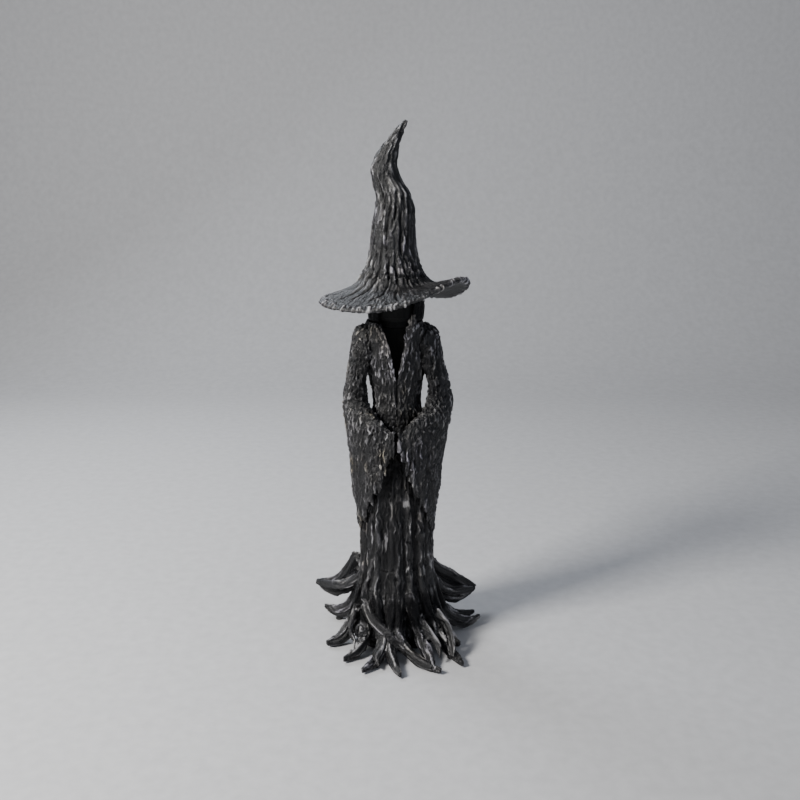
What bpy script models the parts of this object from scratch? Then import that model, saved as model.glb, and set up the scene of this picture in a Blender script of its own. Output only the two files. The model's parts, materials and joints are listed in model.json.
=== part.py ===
"""Witch figure with a turning head: cast bark robe on a root foot, motor drive inside."""
import math

import bmesh
import bpy
import numpy as np
from mathutils import Matrix, Vector

MM = 0.001
GAP = 0.3                   # clearance between neighbouring pieces, mm

# ---- driving dimensions, mm (figure faces -Y, stands on z = 0) ---------------------------
WALL = 3.5                  # robe casting wall
SEAM_Z = 76.0               # robe halves rest on the root foot here
SOLE_Z = 1.3                # flat underside of the roots
PAD_R, PAD_T = 3.5, 1.0
CAVITY_R = 24.5
LEDGE_Z = 67.7              # gear frame stands on this ledge
RECESS_R = 33.0             # seat of the base plate
PLATE_Z = (6.0, 9.0)
CUP_Y, CUP_R = -6.0, 18.0   # battery cup
CELL_R, CELL_L = 7.25, 50.5
HINGE_AT = (-25.2, 4.05)    # battery door hinge line: y, z
SHAFT_R = 2.0
SHAFT_Z = (66.8, 318.0)
MODULE = 0.5
TEETH = {"output": 36, "idler": 24, "pinion": 12}
GEAR_Z = (103.0, 106.5)
HEAD_TURN = 35.0            # each way; the lug meets a stop post 14 degrees further round
GRUB_Z = 294.0
BRIM_R = 64.0
COLLAR_Z = 294.0            # top of the robe; the hood turns just above it

# robe outline: z, centre x, half width, half depth
ROBE = [(75.0, 0.3, 32.6, 31.4), (107.0, 0.3, 33.0, 31.0), (150.0, 0.5, 31.0, 30.0),
        (186.0, 0.9, 27.0, 26.5), (212.0, 1.1, 21.8, 20.5), (222.0, 1.1, 20.2, 18.0),
        (232.0, 0.8, 20.8, 17.5), (243.0, 0.4, 23.4, 18.5), (256.0, 0.0, 25.6, 20.0),
        (281.0, -0.8, 27.4, 21.0), (289.0, -1.0, 25.6, 20.0), (COLLAR_Z, -1.2, 24.0, 19.2)]

# sleeve outline: z, back angle, front angle (from the side towards the front, degrees),
# inner radius, outer radius at the side, outer radius at the front
SLEEVE = [(291.0, -18, 22, 19.0, 25.0, 24.0), (288.0, -24, 28, 20.0, 33.0, 30.0),
          (283.0, -30, 32, 21.0, 36.6, 33.0), (272.0, -33, 34, 22.0, 38.6, 35.0),
          (258.0, -33, 32, 23.0, 40.6, 37.0), (246.0, -32, 30, 25.4, 42.6, 39.0),
          (230.0, -28, 28, 25.8, 45.6, 41.0), (222.0, -28, 34, 26.0, 46.8, 40.0),
          (217.0, -29, 56, 26.0, 47.2, 38.0), (211.0, -30, 70, 26.3, 47.2, 37.0),
          (204.0, -31, 83, 26.6, 46.6, 37.0), (191.0, -31, 88, 27.4, 44.6, 37.8),
          (178.0, -28, 79, 29.0, 43.2, 37.8), (167.0, -24, 74, 30.3, 42.0, 37.6),
          (154.0, -17, 66, 31.6, 41.2, 37.2), (146.0, -11, 57, 32.2, 40.6, 36.8),
          (132.0, 2, 43, 33.2, 38.0, 36.2), (122.0, 12, 34, 33.9, 36.6, 36.0),
          (114.0, 20, 27, 34.2, 35.6, 35.6)]

# hat crown: z, centre x, radius
CROWN = [(456.8, 8.4, 1.7), (450.5, 4.0, 4.0), (439.9, -3.3, 6.6), (429.8, -7.6, 9.0),
         (419.7, -10.0, 11.2), (409.4, -7.2, 12.2), (399.2, -2.3, 14.5), (388.0, -0.2, 16.2),
         (376.0, -1.6, 18.1), (355.0, -2.6, 19.1), (341.6, -2.2, 22.4), (331.5, -2.0, 27.4),
         (325.5, -1.6, 31.5)]

# brim rim height by bearing (degrees from +X, front is -90); the front right curls up
BRIM_Z = [(-180, 311.8), (-150, 310.6), (-133, 310.2), (-117, 310.8), (-99, 312.6),
          (-85, 315.8), (-75, 319.4), (-60, 326.0), (-46, 332.4), (-36, 334.6), (-24, 333.4),
          (-12, 330.8), (0, 326.8), (18, 318.0), (38, 309.5), (60, 307.5), (90, 310.0),
          (135, 311.8), (180, 311.8)]

# roots: bearing where the root leaves the skirt (degrees), tip (x, y, z), thickness, sideways bend
ROOTS = [(-94, (4.0, -82.0, 4.5), 5.9, -5.0), (-122, (-29.0, -75.0, 4.5), 6.6, 9.0),
         (-139, (-46.0, -56.0, 4.5), 6.2, 5.0), (-158, (-63.0, -28.0, 5.0), 6.4, 0.0),
         (160, (-69.0, 36.0, 10.0), 7.4, -2.0), (143, (-77.0, 45.0, 31.0), 6.8, 0.0),
         (126, (-46.0, 68.0, 5.0), 6.6, 3.0), (101, (-12.0, 80.0, 5.0), 6.8, -5.0),
         (74, (27.0, 78.0, 5.0), 6.6, 5.0), (38, (76.5, 50.0, 22.0), 6.6, 0.0),
         (19, (75.0, 32.0, 6.0), 6.2, 2.0), (2, (79.0, 15.0, 10.0), 6.2, -4.0),
         (-24, (57.5, -30.0, 5.0), 6.2, 4.0), (-47, (58.0, -64.0, 4.5), 6.6, 8.0),
         (-68, (33.0, -72.0, 4.5), 6.2, 5.0), (-88, (39.0, -75.0, 4.5), 5.4, -8.0)]
PADDED_ROOTS = (1, 4, 7, 10, 13)

# extra reach of the viewer's-right elbow: z, outward shift
ELBOW = [(291.0, 0.0), (262.0, 0.4), (240.0, 2.6), (217.0, 3.2), (196.0, 2.0), (170.0, 0.6), (114.0, 0.0)]


# ---- mesh helpers ------------------------------------------------------------------------
def material(name, colour, rough, metal=0.0):
    mat = bpy.data.materials.new(name)
    mat.use_nodes = True
    bsdf = mat.node_tree.nodes["Principled BSDF"]
    bsdf.inputs["Base Color"].default_value = (*colour, 1.0)
    bsdf.inputs["Roughness"].default_value = rough
    bsdf.inputs["Metallic"].default_value = metal
    return mat


MATERIALS = {}


def setup():
    for obj in list(bpy.data.objects):
        bpy.data.objects.remove(obj)
    looks = {"bark_resin": ((0.035, 0.034, 0.038), 0.6, 0.0), "void_black": ((0.004,) * 3, 0.9, 0.0),
             "black_abs": ((0.02, 0.02, 0.022), 0.5, 0.0), "nylon": ((0.75, 0.73, 0.68), 0.45, 0.0),
             "steel": ((0.55, 0.56, 0.58), 0.35, 1.0), "brass": ((0.7, 0.5, 0.2), 0.35, 1.0),
             "board_green": ((0.02, 0.18, 0.07), 0.5, 0.0), "cell_wrap": ((0.05, 0.07, 0.16), 0.35, 0.0),
             "felt": ((0.03, 0.03, 0.03), 0.95, 0.0), "lead_red": ((0.5, 0.03, 0.02), 0.5, 0.0),
             "lead_black": ((0.02, 0.02, 0.02), 0.5, 0.0)}
    for key, (colour, rough, metal) in looks.items():
        MATERIALS[key] = material(key, colour, rough, metal)


def tidy(obj, key):
    """One outward closed skin, one material, no loose crumbs."""
    bm = bmesh.new()
    bm.from_mesh(obj.data)
    bmesh.ops.remove_doubles(bm, verts=bm.verts, dist=2e-6)
    bmesh.ops.dissolve_degenerate(bm, dist=2e-6, edges=bm.edges)
    todo, groups = set(bm.verts), []
    while todo:
        seed = todo.pop()
        group, stack = {seed}, [seed]
        while stack:
            for edge in stack.pop().link_edges:
                for vert in edge.verts:
                    if vert in todo:
                        todo.discard(vert)
                        group.add(vert)
                        stack.append(vert)
        groups.append(group)
    keep = max(groups, key=len)
    bmesh.ops.delete(bm, geom=[v for v in bm.verts if v not in keep], context="VERTS")
    bmesh.ops.triangulate(bm, faces=bm.faces)
    bmesh.ops.recalc_face_normals(bm, faces=bm.faces)
    if bm.calc_volume(signed=True) < 0:
        bmesh.ops.reverse_faces(bm, faces=bm.faces)
    for face in bm.faces:
        face.material_index = 0
    bm.to_mesh(obj.data)
    bm.free()
    obj.data.materials.clear()
    obj.data.materials.append(MATERIALS[key])
    return obj


def solid(name, verts, faces, key="black_abs"):
    mesh = bpy.data.meshes.new(name)
    mesh.from_pydata([tuple(c * MM for c in v) for v in verts], [], faces)
    obj = bpy.data.objects.new(name, mesh)
    bpy.context.scene.collection.objects.link(obj)
    return tidy(obj, key)


def loft(name, rings, key="black_abs"):
    """Closed body through rings of equal point count, flat ends."""
    n = len(rings[0])
    verts = [p for ring in rings for p in ring]
    faces = [tuple(range(n)), tuple(range((len(rings) - 1) * n, len(rings) * n))]
    for k in range(len(rings) - 1):
        for i in range(n):
            j = (i + 1) % n
            faces.append((k * n + i, k * n + j, (k + 1) * n + j, (k + 1) * n + i))
    return solid(name, verts, faces, key)


def band(name, outer, inner, key="black_abs"):
    """Open-sided wall: outer[k][i] and inner[k][i] are matching grids of points."""
    rows, n = len(outer), len(outer[0])
    verts = [p for row in outer for p in row] + [p for row in inner for p in row]
    base = rows * n
    faces = []
    for k in range(rows - 1):
        for i in range(n - 1):
            a, b, c, d = k * n + i, k * n + i + 1, (k + 1) * n + i + 1, (k + 1) * n + i
            faces += [(a, b, c, d), (base + d, base + c, base + b, base + a)]
        for i in (0, n - 1):
            a, d = k * n + i, (k + 1) * n + i
            faces.append((a, d, base + d, base + a))
    for k in (0, rows - 1):
        for i in range(n - 1):
            a, b = k * n + i, k * n + i + 1
            faces.append((a, b, base + b, base + a))
    return solid(name, verts, faces, key)


def circle(r, z, n=24, cx=0.0, cy=0.0, ry=None, turn=0.0):
    ry = r if ry is None else ry
    return [(cx + r * math.cos(turn + 2 * math.pi * i / n),
             cy + ry * math.sin(turn + 2 * math.pi * i / n), z) for i in range(n)]


def lathe(name, profile, key="black_abs", at=(0.0, 0.0), n=24):
    """Solid of revolution about a vertical line; profile is (radius, z) from end to end."""
    return loft(name, [circle(r, z, n, *at) for r, z in profile], key)


def ring(name, r_in, r_out, z0, z1, key="black_abs", at=(0.0, 0.0), n=14):
    loop = [circle(r, z, n, *at) for r, z in
            ((r_in, z0), (r_out, z0), (r_out, z1), (r_in, z1))]
    verts = [p for row in loop for p in row]
    faces = []
    for k in range(4):
        for i in range(n):
            j, m = (i + 1) % n, (k + 1) % 4
            faces.append((k * n + i, k * n + j, m * n + j, m * n + i))
    return solid(name, verts, faces, key)


def rod(name, p0, p1, r, key="steel", n=12):
    """Cylinder between two points."""
    a, b = Vector(p0), Vector(p1)
    axis = (b - a).normalized()
    side = axis.orthogonal().normalized()
    up = axis.cross(side)
    rings = [[tuple(p + side * r * math.cos(2 * math.pi * i / n) + up * r * math.sin(2 * math.pi * i / n))
              for i in range(n)] for p in (a, b)]
    return loft(name, rings, key)


def block(name, x, y, z, key="black_abs"):
    return loft(name, [[(x[0], y[0], h), (x[1], y[0], h), (x[1], y[1], h), (x[0], y[1], h)] for h in z], key)


def volume_of(mesh):
    bm = bmesh.new()
    bm.from_mesh(mesh)
    volume = abs(bm.calc_volume(signed=True))
    bm.free()
    return volume


def combine(target, other, operation="DIFFERENCE"):
    """Boolean of target with other, which is used up; one that loses the body is nudged and tried again."""
    key = target.data.materials[0].name
    least = volume_of(target.data) * (0.99 if operation == "UNION" else 0.04)
    for attempt in range(6):
        mod = target.modifiers.new("boolean", "BOOLEAN")
        mod.operation = operation
        mod.solver = "EXACT"
        mod.object = other
        done = target.evaluated_get(bpy.context.evaluated_depsgraph_get())
        mesh = bpy.data.meshes.new_from_object(done)
        target.modifiers.clear()
        if volume_of(mesh) >= least:
            break
        other.location += Vector((0.013, 0.017, 0.011)) * MM
        bpy.context.view_layer.update()
    else:
        raise ValueError(f"{target.name}: {operation} lost the body")
    target.data = mesh
    bpy.data.objects.remove(other)
    return tidy(target, key)


def cut(target, *cutters):
    for cutter in cutters:
        target = combine(target, cutter)
    return target


def join(target, *others):
    for other in others:
        target = combine(target, other, "UNION")
    return target


def polar(r, degrees):
    return r * math.cos(math.radians(degrees)), r * math.sin(math.radians(degrees))


def table(rows, z, column):
    """Linear look-up in a table whose first column is the height or bearing."""
    data = sorted(rows)
    return float(np.interp(z, [row[0] for row in data], [row[column] for row in data]))


def screw(name, foot, head, r=1.2, head_r=2.4, head_t=1.8):
    """Pan-head screw: foot is the tip, head is the underside of the head."""
    a, b = Vector(foot), Vector(head)
    axis = (b - a).normalized()
    side = axis.orthogonal().normalized()
    up = axis.cross(side)
    stations = [(a, 0.5 * r), (a + axis * 1.0, r), (b, r), (b, head_r),
                (b + axis * 0.6 * head_t, head_r), (b + axis * head_t, 0.7 * head_r)]
    n = 8
    rings = [[tuple(p + side * q * math.cos(2 * math.pi * i / n) + up * q * math.sin(2 * math.pi * i / n))
              for i in range(n)] for p, q in stations]
    return loft(name, rings, "steel")


def smooth_path(points, steps):
    """Catmull-Rom curve through the points."""
    pts = [Vector(p) for p in points]
    pts = [2 * pts[0] - pts[1]] + pts + [2 * pts[-1] - pts[-2]]
    out = []
    for k in range(1, len(pts) - 2):
        for s in range(steps):
            t = s / steps
            a, b, c, d = pts[k - 1:k + 3]
            out.append(0.5 * (2 * b + (c - a) * t + (2 * a - 5 * b + 4 * c - d) * t * t
                              + (3 * b - a - 3 * c + d) * t ** 3))
    return out + [pts[-2]]


def tube(name, points, radii, steps=2, n=7, key="bark_resin"):
    """Tapered bent tube; radii are given at the points."""
    path = smooth_path(points, steps)
    at = np.linspace(0, len(radii) - 1, len(path))
    size = [float(v) for v in np.interp(at, range(len(radii)), radii)]
    rings, side = [], None
    for i, p in enumerate(path):
        tangent = (path[min(i + 1, len(path) - 1)] - path[max(i - 1, 0)]).normalized()
        side = tangent.orthogonal() if side is None else side - tangent * side.dot(tangent)
        side.normalize()
        up = tangent.cross(side)
        rings.append([tuple(p + size[i] * (side * math.cos(2 * math.pi * j / n)
                                           + up * math.sin(2 * math.pi * j / n))) for j in range(n)])
    return loft(name, rings, key)


# ---- the cast figure ---------------------------------------------------------------------
def robe_ring(z, inset, start=0.0, sweep=360.0, n=32, whole=True):
    """Points of the robe's outline at height z, moved in by inset."""
    cx, ax, ay = (table(ROBE, z, c) for c in (1, 2, 3))
    count = n if whole else n + 1
    return [(cx + (ax - inset) * math.cos(math.radians(start + sweep * i / n)),
             (ay - inset) * math.sin(math.radians(start + sweep * i / n)), z) for i in range(count)]


def robe_body(name, inset):
    heights = [70.0] + [row[0] for row in ROBE[1:]] + [300.0]
    return loft(name, [robe_ring(z, inset, n=28) for z in heights], "bark_resin")


def robe_half(name, sign):
    """One half of the hollow robe; sign -1 is the front, +1 the rear."""
    heights = [SEAM_Z] + [row[0] for row in ROBE[1:]]
    start = 180.0 if sign < 0 else 0.0
    rows = []
    for inset in (0.0, WALL):
        grid = [robe_ring(z, inset, start, 180.0, 14, False) for z in heights]
        rows.append([[(x, sign * max(abs(y), GAP / 2), z) for x, y, z in row] for row in grid])
    return band(name, rows[0], rows[1], "bark_resin")


# screw bosses of the robe: x, z, where the boss ends and where the screw head sits (from the seam)
BOSSES = [(19.3, 125.0, 22.0, 14.0), (-18.7, 125.0, 22.0, 14.0),
          (11.2, 226.0, 12.6, 7.3), (-9.6, 226.0, 12.6, 7.3)]


def shell_bosses(half, sign):
    """Four screw bosses; the rear half is drilled through, the front half is blind."""
    for x, z, depth, _ in BOSSES:
        join(half, rod("boss", (x, sign * 0.2, z), (x, sign * depth, z), 3.1, "bark_resin"))
    for x, z, _, seat in BOSSES:
        if sign > 0:
            cut(half, rod("hole", (x, -1, z), (x, seat + 1, z), 1.5),
                rod("sink", (x, seat - GAP, z), (x, 40, z), 2.8))
            screw(f"shell_screw_{'r' if x > 0 else 'l'}{int(z)}", (x, -6.0, z), (x, seat, z))
        else:
            cut(half, rod("hole", (x, 1, z), (x, -7.0, z), 1.5))
    return half


def neckline_cutter():
    """Deep V of the neck, cut through the front wall only."""
    left = [(0.2, 245.0), (-2.0, 252.5), (-5.2, 267.0), (-8.0, 280.0), (-11.5, 291.0), (-14.0, 300.0)]
    right = [(14.5, 300.0), (12.6, 291.0), (8.6, 280.0), (5.2, 267.0), (3.2, 252.5), (1.4, 245.0)]
    outline = left + right
    rings = [[(x, y, z) for x, z in outline] for y in (-45.0, -8.0)]
    return loft("v", rings, "bark_resin")


def sleeve(name, sign):
    """Upper arm, forearm and hanging bell in one casting; sign -1 is the viewer's left."""
    rings = []
    for z, back, front, r_in, r_side, r_front in SLEEVE:
        reach = table(ELBOW, z, 1) if sign > 0 else 0.0
        r_in, r_side = r_in + 0.8 * reach, r_side + reach
        outer, inner = [], []
        n = 11
        for i in range(n + 1):
            s = i / n
            angle = math.radians(back + (front - back) * s)
            blend = min(max(math.degrees(angle), 0.0) / 85.0, 1.0) ** 0.8
            r_out = r_side + (r_front - r_side) * blend
            thin = 0.72 if s > 0.5 and front > 45 else 0.30
            swell = thin + (1.0 - thin) * max(math.sin(math.pi * s), 0.0) ** 0.55
            r = r_in + (r_out - r_in) * swell
            outer.append((sign * r * math.cos(angle), -r * math.sin(angle), z))
            if 0 < i < n:
                inner.append((sign * r_in * math.cos(angle), -r_in * math.sin(angle), z))
        rings.append(outer + inner[::-1])
    body = loft(name, rings, "bark_resin")
    return cut(body, robe_body("cutter", -0.35))


def lapel(name, sign):
    """Raised collar edge running from the foot of the V to the shoulder."""
    line = [(1.9, 244.5), (3.6, 253.0), (6.6, 266.0), (9.8, 278.0), (13.4, 287.0), (17.6, 292.0), (21.5, 292.5)]
    points = []
    for x, z in line:
        cx, ax, ay = (table(ROBE, z, c) for c in (1, 2, 3))
        px = 0.8 + sign * x
        slope = max(1.0 - ((px - cx) / ax) ** 2, 0.02)
        points.append((px, -ay * math.sqrt(slope) - 0.6, z))
    body = tube(name, points, (1.2, 1.9, 2.3, 2.6, 2.8, 2.6, 1.6), 2, 8)
    return cut(body, robe_body("cutter", -0.35), block("trim", (-60, 60), (-60, 60), (COLLAR_Z, 320)))


def root_points(bearing, tip, thick, bend):
    """Centre line of one root, from inside the skirt to its tip."""
    tx, ty, tz = tip
    reach = math.hypot(tx, ty)
    aim = math.degrees(math.atan2(ty, tx))
    turn = (aim - bearing + 180.0) % 360.0 - 180.0
    rise = max(tz - 8.0, 0.0)
    low = SOLE_Z + 0.55 * thick + 0.9 * rise
    stations = [(26.0, 74.0, 0.0, 0.0), (31.0, 54.0, 0.05, 0.0), (36.5, 33.0 + 0.6 * rise, 0.2, 0.3),
                (45.0, 15.0 + 1.1 * rise, 0.5, 1.0), (0.5 * (45.0 + reach), low, 0.85, 0.75)]
    points = []
    for r, z, share, sway in stations:
        x, y = polar(r, bearing + turn * share)
        dx, dy = polar(bend * sway, aim + 90.0)
        points.append((x + dx, y + dy, z))
    return points + [tip]


def root_foot():
    """Flared skirt with roots, hollow from below, seats for plate and gear frame."""
    outline = [(75.7, 32.6, 31.4), (62, 33.6, 32.8), (50, 34.6, 34.2), (36, 36.4, 36.2), (20, 38.6, 38.6),
               (3.0, 40.0, 40.0)]
    foot = loft("root_foot", [circle(ax, z, 28, 0.3, 0.0, ay) for z, ax, ay in outline], "bark_resin")
    for bearing, tip, thick, bend in ROOTS:
        radii = (0.8 * thick, 1.0 * thick, 1.1 * thick, thick, 0.84 * thick, 2.9)
        join(foot, tube("root", root_points(bearing, tip, thick, bend), radii))
    cut(foot, block("floor", (-150, 150), (-150, 150), (-30.0, SOLE_Z)),
        block("top", (-60, 60), (-60, 60), (75.7, 100.0)),
        lathe("cavity", [(RECESS_R, -5.0), (RECESS_R, PLATE_Z[1] + GAP), (CAVITY_R, PLATE_Z[1] + GAP),
                         (CAVITY_R, LEDGE_Z), (28.3, LEDGE_Z), (28.3, 90.0)], n=28))
    for degrees in (90, 210, 330):
        x, y = polar(29.5, degrees)
        cut(foot, rod("pilot", (x, y, 5.0), (x, y, 18.5), 1.5))
        screw(f"base_screw_{degrees}", (x, y, 17.5), (x, y, PLATE_Z[0] - GAP))
    for degrees in (20, 140, 260):
        x, y = polar(26.4, degrees)
        cut(foot, rod("pilot", (x, y, 58.0), (x, y, 70.0), 1.3))
        screw(f"frame_screw_{degrees}", (x, y, 59.0), (x, y, 70.3), 1.0, 1.6, 1.4)
    return foot


def felt_pads():
    for number, index in enumerate(PADDED_ROOTS):
        x, y, _ = root_points(*ROOTS[index])[4]
        lathe(f"foot_pad_{number + 1}", [(PAD_R, 0.0), (PAD_R, PAD_T)], "felt", (x, y), 14)


# ---- the turning head --------------------------------------------------------------------
def brim_top(bearing, r):
    """Height of the brim's upper face."""
    edge = table(BRIM_Z, bearing, 1)
    s = min(max((r - 31.5) / (BRIM_R - 31.5), 0.0), 1.0)
    return 325.5 + (edge - 325.5) * s ** 0.8


def rim_reach(bearing, r):
    """Draws the viewer's-left end of the brim out to a blunt point."""
    away = (180.0 - abs(bearing)) / 22.0
    return 1.0 + 0.022 * math.exp(-away * away) * (r / BRIM_R) ** 4


def hat():
    n = 28
    rings = [circle(r, z, n, cx) for z, cx, r in CROWN]
    outline = [(38.0, 0.0), (46.0, 0.0), (55.0, 0.0), (62.5, 0.0), (BRIM_R, -1.8), (63.0, -4.2),
               (54.0, -4.6), (44.0, -5.4), (34.0, -6.4)]
    for r, drop in outline:
        row = []
        for i in range(n):
            bearing = 360.0 * i / n
            bearing -= 360.0 if bearing > 180.0 else 0.0
            x, y = polar(r, bearing)
            row.append((x * rim_reach(bearing, r) - 0.6, y * 0.94, brim_top(bearing, r) + drop))
        rings.append(row)
    rings += [circle(25.3, 317.6, n), circle(25.3, 334.0, n)]
    body = loft("hat", rings, "bark_resin")
    for x in (-13.0, 13.0):
        cut(body, rod("pilot", (x, 0, 330.0), (x, 0, 346.0), 1.5))
        screw(f"hat_screw_{'l' if x < 0 else 'r'}", (x, 0, 345.0), (x, 0, 325.6 - GAP))
    return body


def hood():
    """Hood under the hat: side and rear wall, open at the front, closed on top."""
    start, sweep, n = -52.0, 284.0, 18
    rows = []
    for inset in (0.0, 2.0):
        grid = []
        for z, rx, ry in ((COLLAR_Z + GAP, 23.6, 21.2), (303.0, 24.4, 22.4), (312.0, 24.6, 23.2), (322.8, 23.6, 23.0)):
            grid.append([((rx - inset) * math.cos(math.radians(start + sweep * i / n)),
                          (ry - inset) * math.sin(math.radians(start + sweep * i / n)), z)
                         for i in range(n + 1)])
        rows.append(grid)
    body = band("hood", rows[0], rows[1], "bark_resin")
    join(body, lathe("lid", [(22.6, 320.4), (22.6, 322.6)], "bark_resin", n=24))
    return cut(body, rod("hole", (0, 0, 315), (0, 0, 327), 4.4))


def face_core():
    """Featureless black blank filling the hood and reaching down into the collar."""
    profile = [(11.0, 288.4), (14.6, 290.0), (14.6, COLLAR_Z + GAP), (18.4, 298.0), (19.4, 306.0),
               (19.4, 314.0), (18.0, 320.0)]
    body = lathe("face_core", profile, "void_black", n=20)
    return cut(body, rod("hub_hole", (0, 0, 280), (0, 0, 330), 4.4),
               rod("grub_access", (0, 0, GRUB_Z), (0, 30, GRUB_Z), 1.7))


def head_hub():
    body = lathe("head_hub", [(4.0, 290.6), (4.0, 325.6), (21.0, 325.6), (21.0, 328.4)], "black_abs", n=20)
    cut(body, rod("bore", (0, 0, 280), (0, 0, SHAFT_Z[1] + GAP), SHAFT_R + GAP),
        rod("grub", (0, 0, GRUB_Z), (0, 8, GRUB_Z), 1.4))
    for x in (-13.0, 13.0):
        cut(body, rod("hole", (x, 0, 320), (x, 0, 335), 1.5))
    return body


def head_group():
    hat()
    hood()
    face_core()
    head_hub()
    rod("grub_screw", (0, 2.4, GRUB_Z), (0, 3.9, GRUB_Z), 1.1, n=12)


# ---- drive -------------------------------------------------------------------------------
def gear(name, teeth, at, phase, z, key="nylon"):
    """Spur gear blank with straight-flanked slim teeth."""
    pitch = MODULE * teeth / 2
    root_r, tip_r = pitch - 1.2 * MODULE, pitch + 0.75 * MODULE
    step = 2 * math.pi / teeth
    outline = []
    for t in range(teeth):
        centre = math.radians(phase) + t * step
        for offset, r in ((-0.26, root_r), (-0.10, tip_r), (0.10, tip_r), (0.26, root_r)):
            outline.append((at[0] + r * math.cos(centre + offset * step),
                            at[1] + r * math.sin(centre + offset * step)))
    return loft(name, [[(x, y, h) for x, y in outline] for h in z], key)


IDLER_AT = (0.0, MODULE * (TEETH["output"] + TEETH["idler"]) / 2)
PINION_AT = (MODULE * (TEETH["idler"] + TEETH["pinion"]) / 2, IDLER_AT[1])


def gear_train():
    out = gear("output_gear", TEETH["output"], (0, 0), 0.0, GEAR_Z)
    join(out, block("lug", (-1.5, 1.5), (-13.0, -7.0), GEAR_Z, "nylon"))
    cut(out, rod("bore", (0, 0, 100), (0, 0, 110), SHAFT_R + GAP))
    idler = gear("idler_gear", TEETH["idler"], IDLER_AT, 7.5, GEAR_Z)
    cut(idler, rod("bore", (*IDLER_AT, 100), (*IDLER_AT, 110), 1.3))
    pinion = gear("motor_pinion", TEETH["pinion"], PINION_AT, 0.0, GEAR_Z, "brass")
    join(pinion, rod("stub", (*PINION_AT, 98.3), (*PINION_AT, 104.0), 1.2, "brass"))
    rod("idler_axle", (*IDLER_AT, 97.0), (*IDLER_AT, 108.0), 1.0, "steel")
    rod("drive_shaft", (0, 0, SHAFT_Z[0]), (0, 0, SHAFT_Z[1]), SHAFT_R, "steel", 16)


def gear_frame():
    frame = lathe("gear_frame", [(28.0, 68.0), (28.0, 70.0)], "black_abs", n=28)
    for degrees in (165, 225, 315):
        x, y = polar(21.5, degrees)
        join(frame, lathe("post", [(2.6, 69.0), (2.6, 99.7)], at=(x, y), n=10))
    cut(frame, rod("bush_seat", (0, 0, 60), (0, 0, 75), 4.3))
    cut(frame, rod("wire_way", (6, 19.5, 60), (6, 19.5, 75), 3.0))
    for degrees in (20, 140, 260):
        x, y = polar(26.4, degrees)
        cut(frame, rod("hole", (x, y, 60), (x, y, 75), 1.3))
    top = lathe("gear_top_plate", [(26.6, 100.0), (26.6, 102.0)], "black_abs", n=28)
    for degrees in (-90 - HEAD_TURN - 14, -90 + HEAD_TURN + 14):
        x, y = polar(11.5, degrees)
        join(top, lathe("stop", [(1.0, 101.0), (1.0, 106.0)], at=(x, y), n=8))
    cut(top, rod("h", (0, 0, 95), (0, 0, 108), SHAFT_R + 0.5), rod("h", (*IDLER_AT, 95), (*IDLER_AT, 108), 1.3),
        rod("h", (*PINION_AT, 95), (*PINION_AT, 108), 1.6))
    px, py = PINION_AT
    motor = block("gear_motor", (px - 6, px + 6), (py - 5, py + 5), (88.0, 98.0), "steel")
    join(motor, rod("can", (px, py, 74.0), (px, py, 90.0), 4.9, "steel", 14))
    ring("shaft_bush_lower", SHAFT_R + GAP, 4.0, 66.9, 71.5, "brass")


def neck_parts():
    """Black liner behind the neckline, carrying the upper bush."""
    rings = [[(x, y * 12.5 / table(ROBE, z, 3), z) for x, y, z in robe_ring(z, WALL + 0.4, n=20)]
             for z in (243.0, 256.0, 270.0, 281.0, 288.0)]
    liner = loft("neck_liner", rings, "void_black")
    hollow = [[(x, y * 9.0 / table(ROBE, z, 3), z) for x, y, z in robe_ring(z, WALL + 3.0, n=20)]
              for z in (240.0, 256.0, 270.0, 281.0, 284.0)]
    cut(liner, loft("hollow", hollow), rod("seat", (0, 0, 280), (0, 0, 292), 4.3))
    ring("shaft_bush_upper", SHAFT_R + GAP, 4.0, 283.0, 289.4, "brass")
    ring("shaft_clip", SHAFT_R + 0.1, 3.9, 281.4, 282.4, "steel")


# ---- base, cells, switch, board ----------------------------------------------------------
def battery_group():
    cup = lathe("battery_box", [(CUP_R, PLATE_Z[1] + GAP), (CUP_R, 64.0)], at=(0, CUP_Y), n=24)
    join(cup, block("rail_pad", (-15.8, 15.8), (8.0, 18.4), (17.0, 57.0)))
    cut(cup, lathe("room", [(16.3, 0.0), (16.3, 62.4)], at=(0, CUP_Y), n=24),
        block("slot", (-14.3, 14.3), (13.3, 15.9), (15.0, 60.0)),
        block("window", (-12.6, 12.6), (14.0, 20.0), (15.0, 60.0)))
    for number in range(3):
        dx, dy = polar(8.7, 90 + 120 * number)
        x, y = dx, CUP_Y + dy
        lathe(f"battery_cell_{number + 1}", [(CELL_R, 8.6), (CELL_R, 8.6 + CELL_L - 1.2), (2.7, 8.6 + CELL_L - 1.2),
                                            (2.7, 8.6 + CELL_L)], "cell_wrap", (x, y), 14)
    lathe("top_contact", [(15.4, 60.2), (15.4, 61.0)], "steel", (0, CUP_Y), 24)
    board = block("control_board", (-14, 14), (13.6, 15.2), (15.5, 58.0), "board_green")
    join(board, block("chip", (-5, 5), (15.0, 17.4), (34, 42), "board_green"),
         block("relay", (-9, 1), (15.0, 19.2), (20, 30), "board_green"),
         block("plug", (1, 9), (15.0, 18.6), (48, 54), "board_green"))


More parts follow.
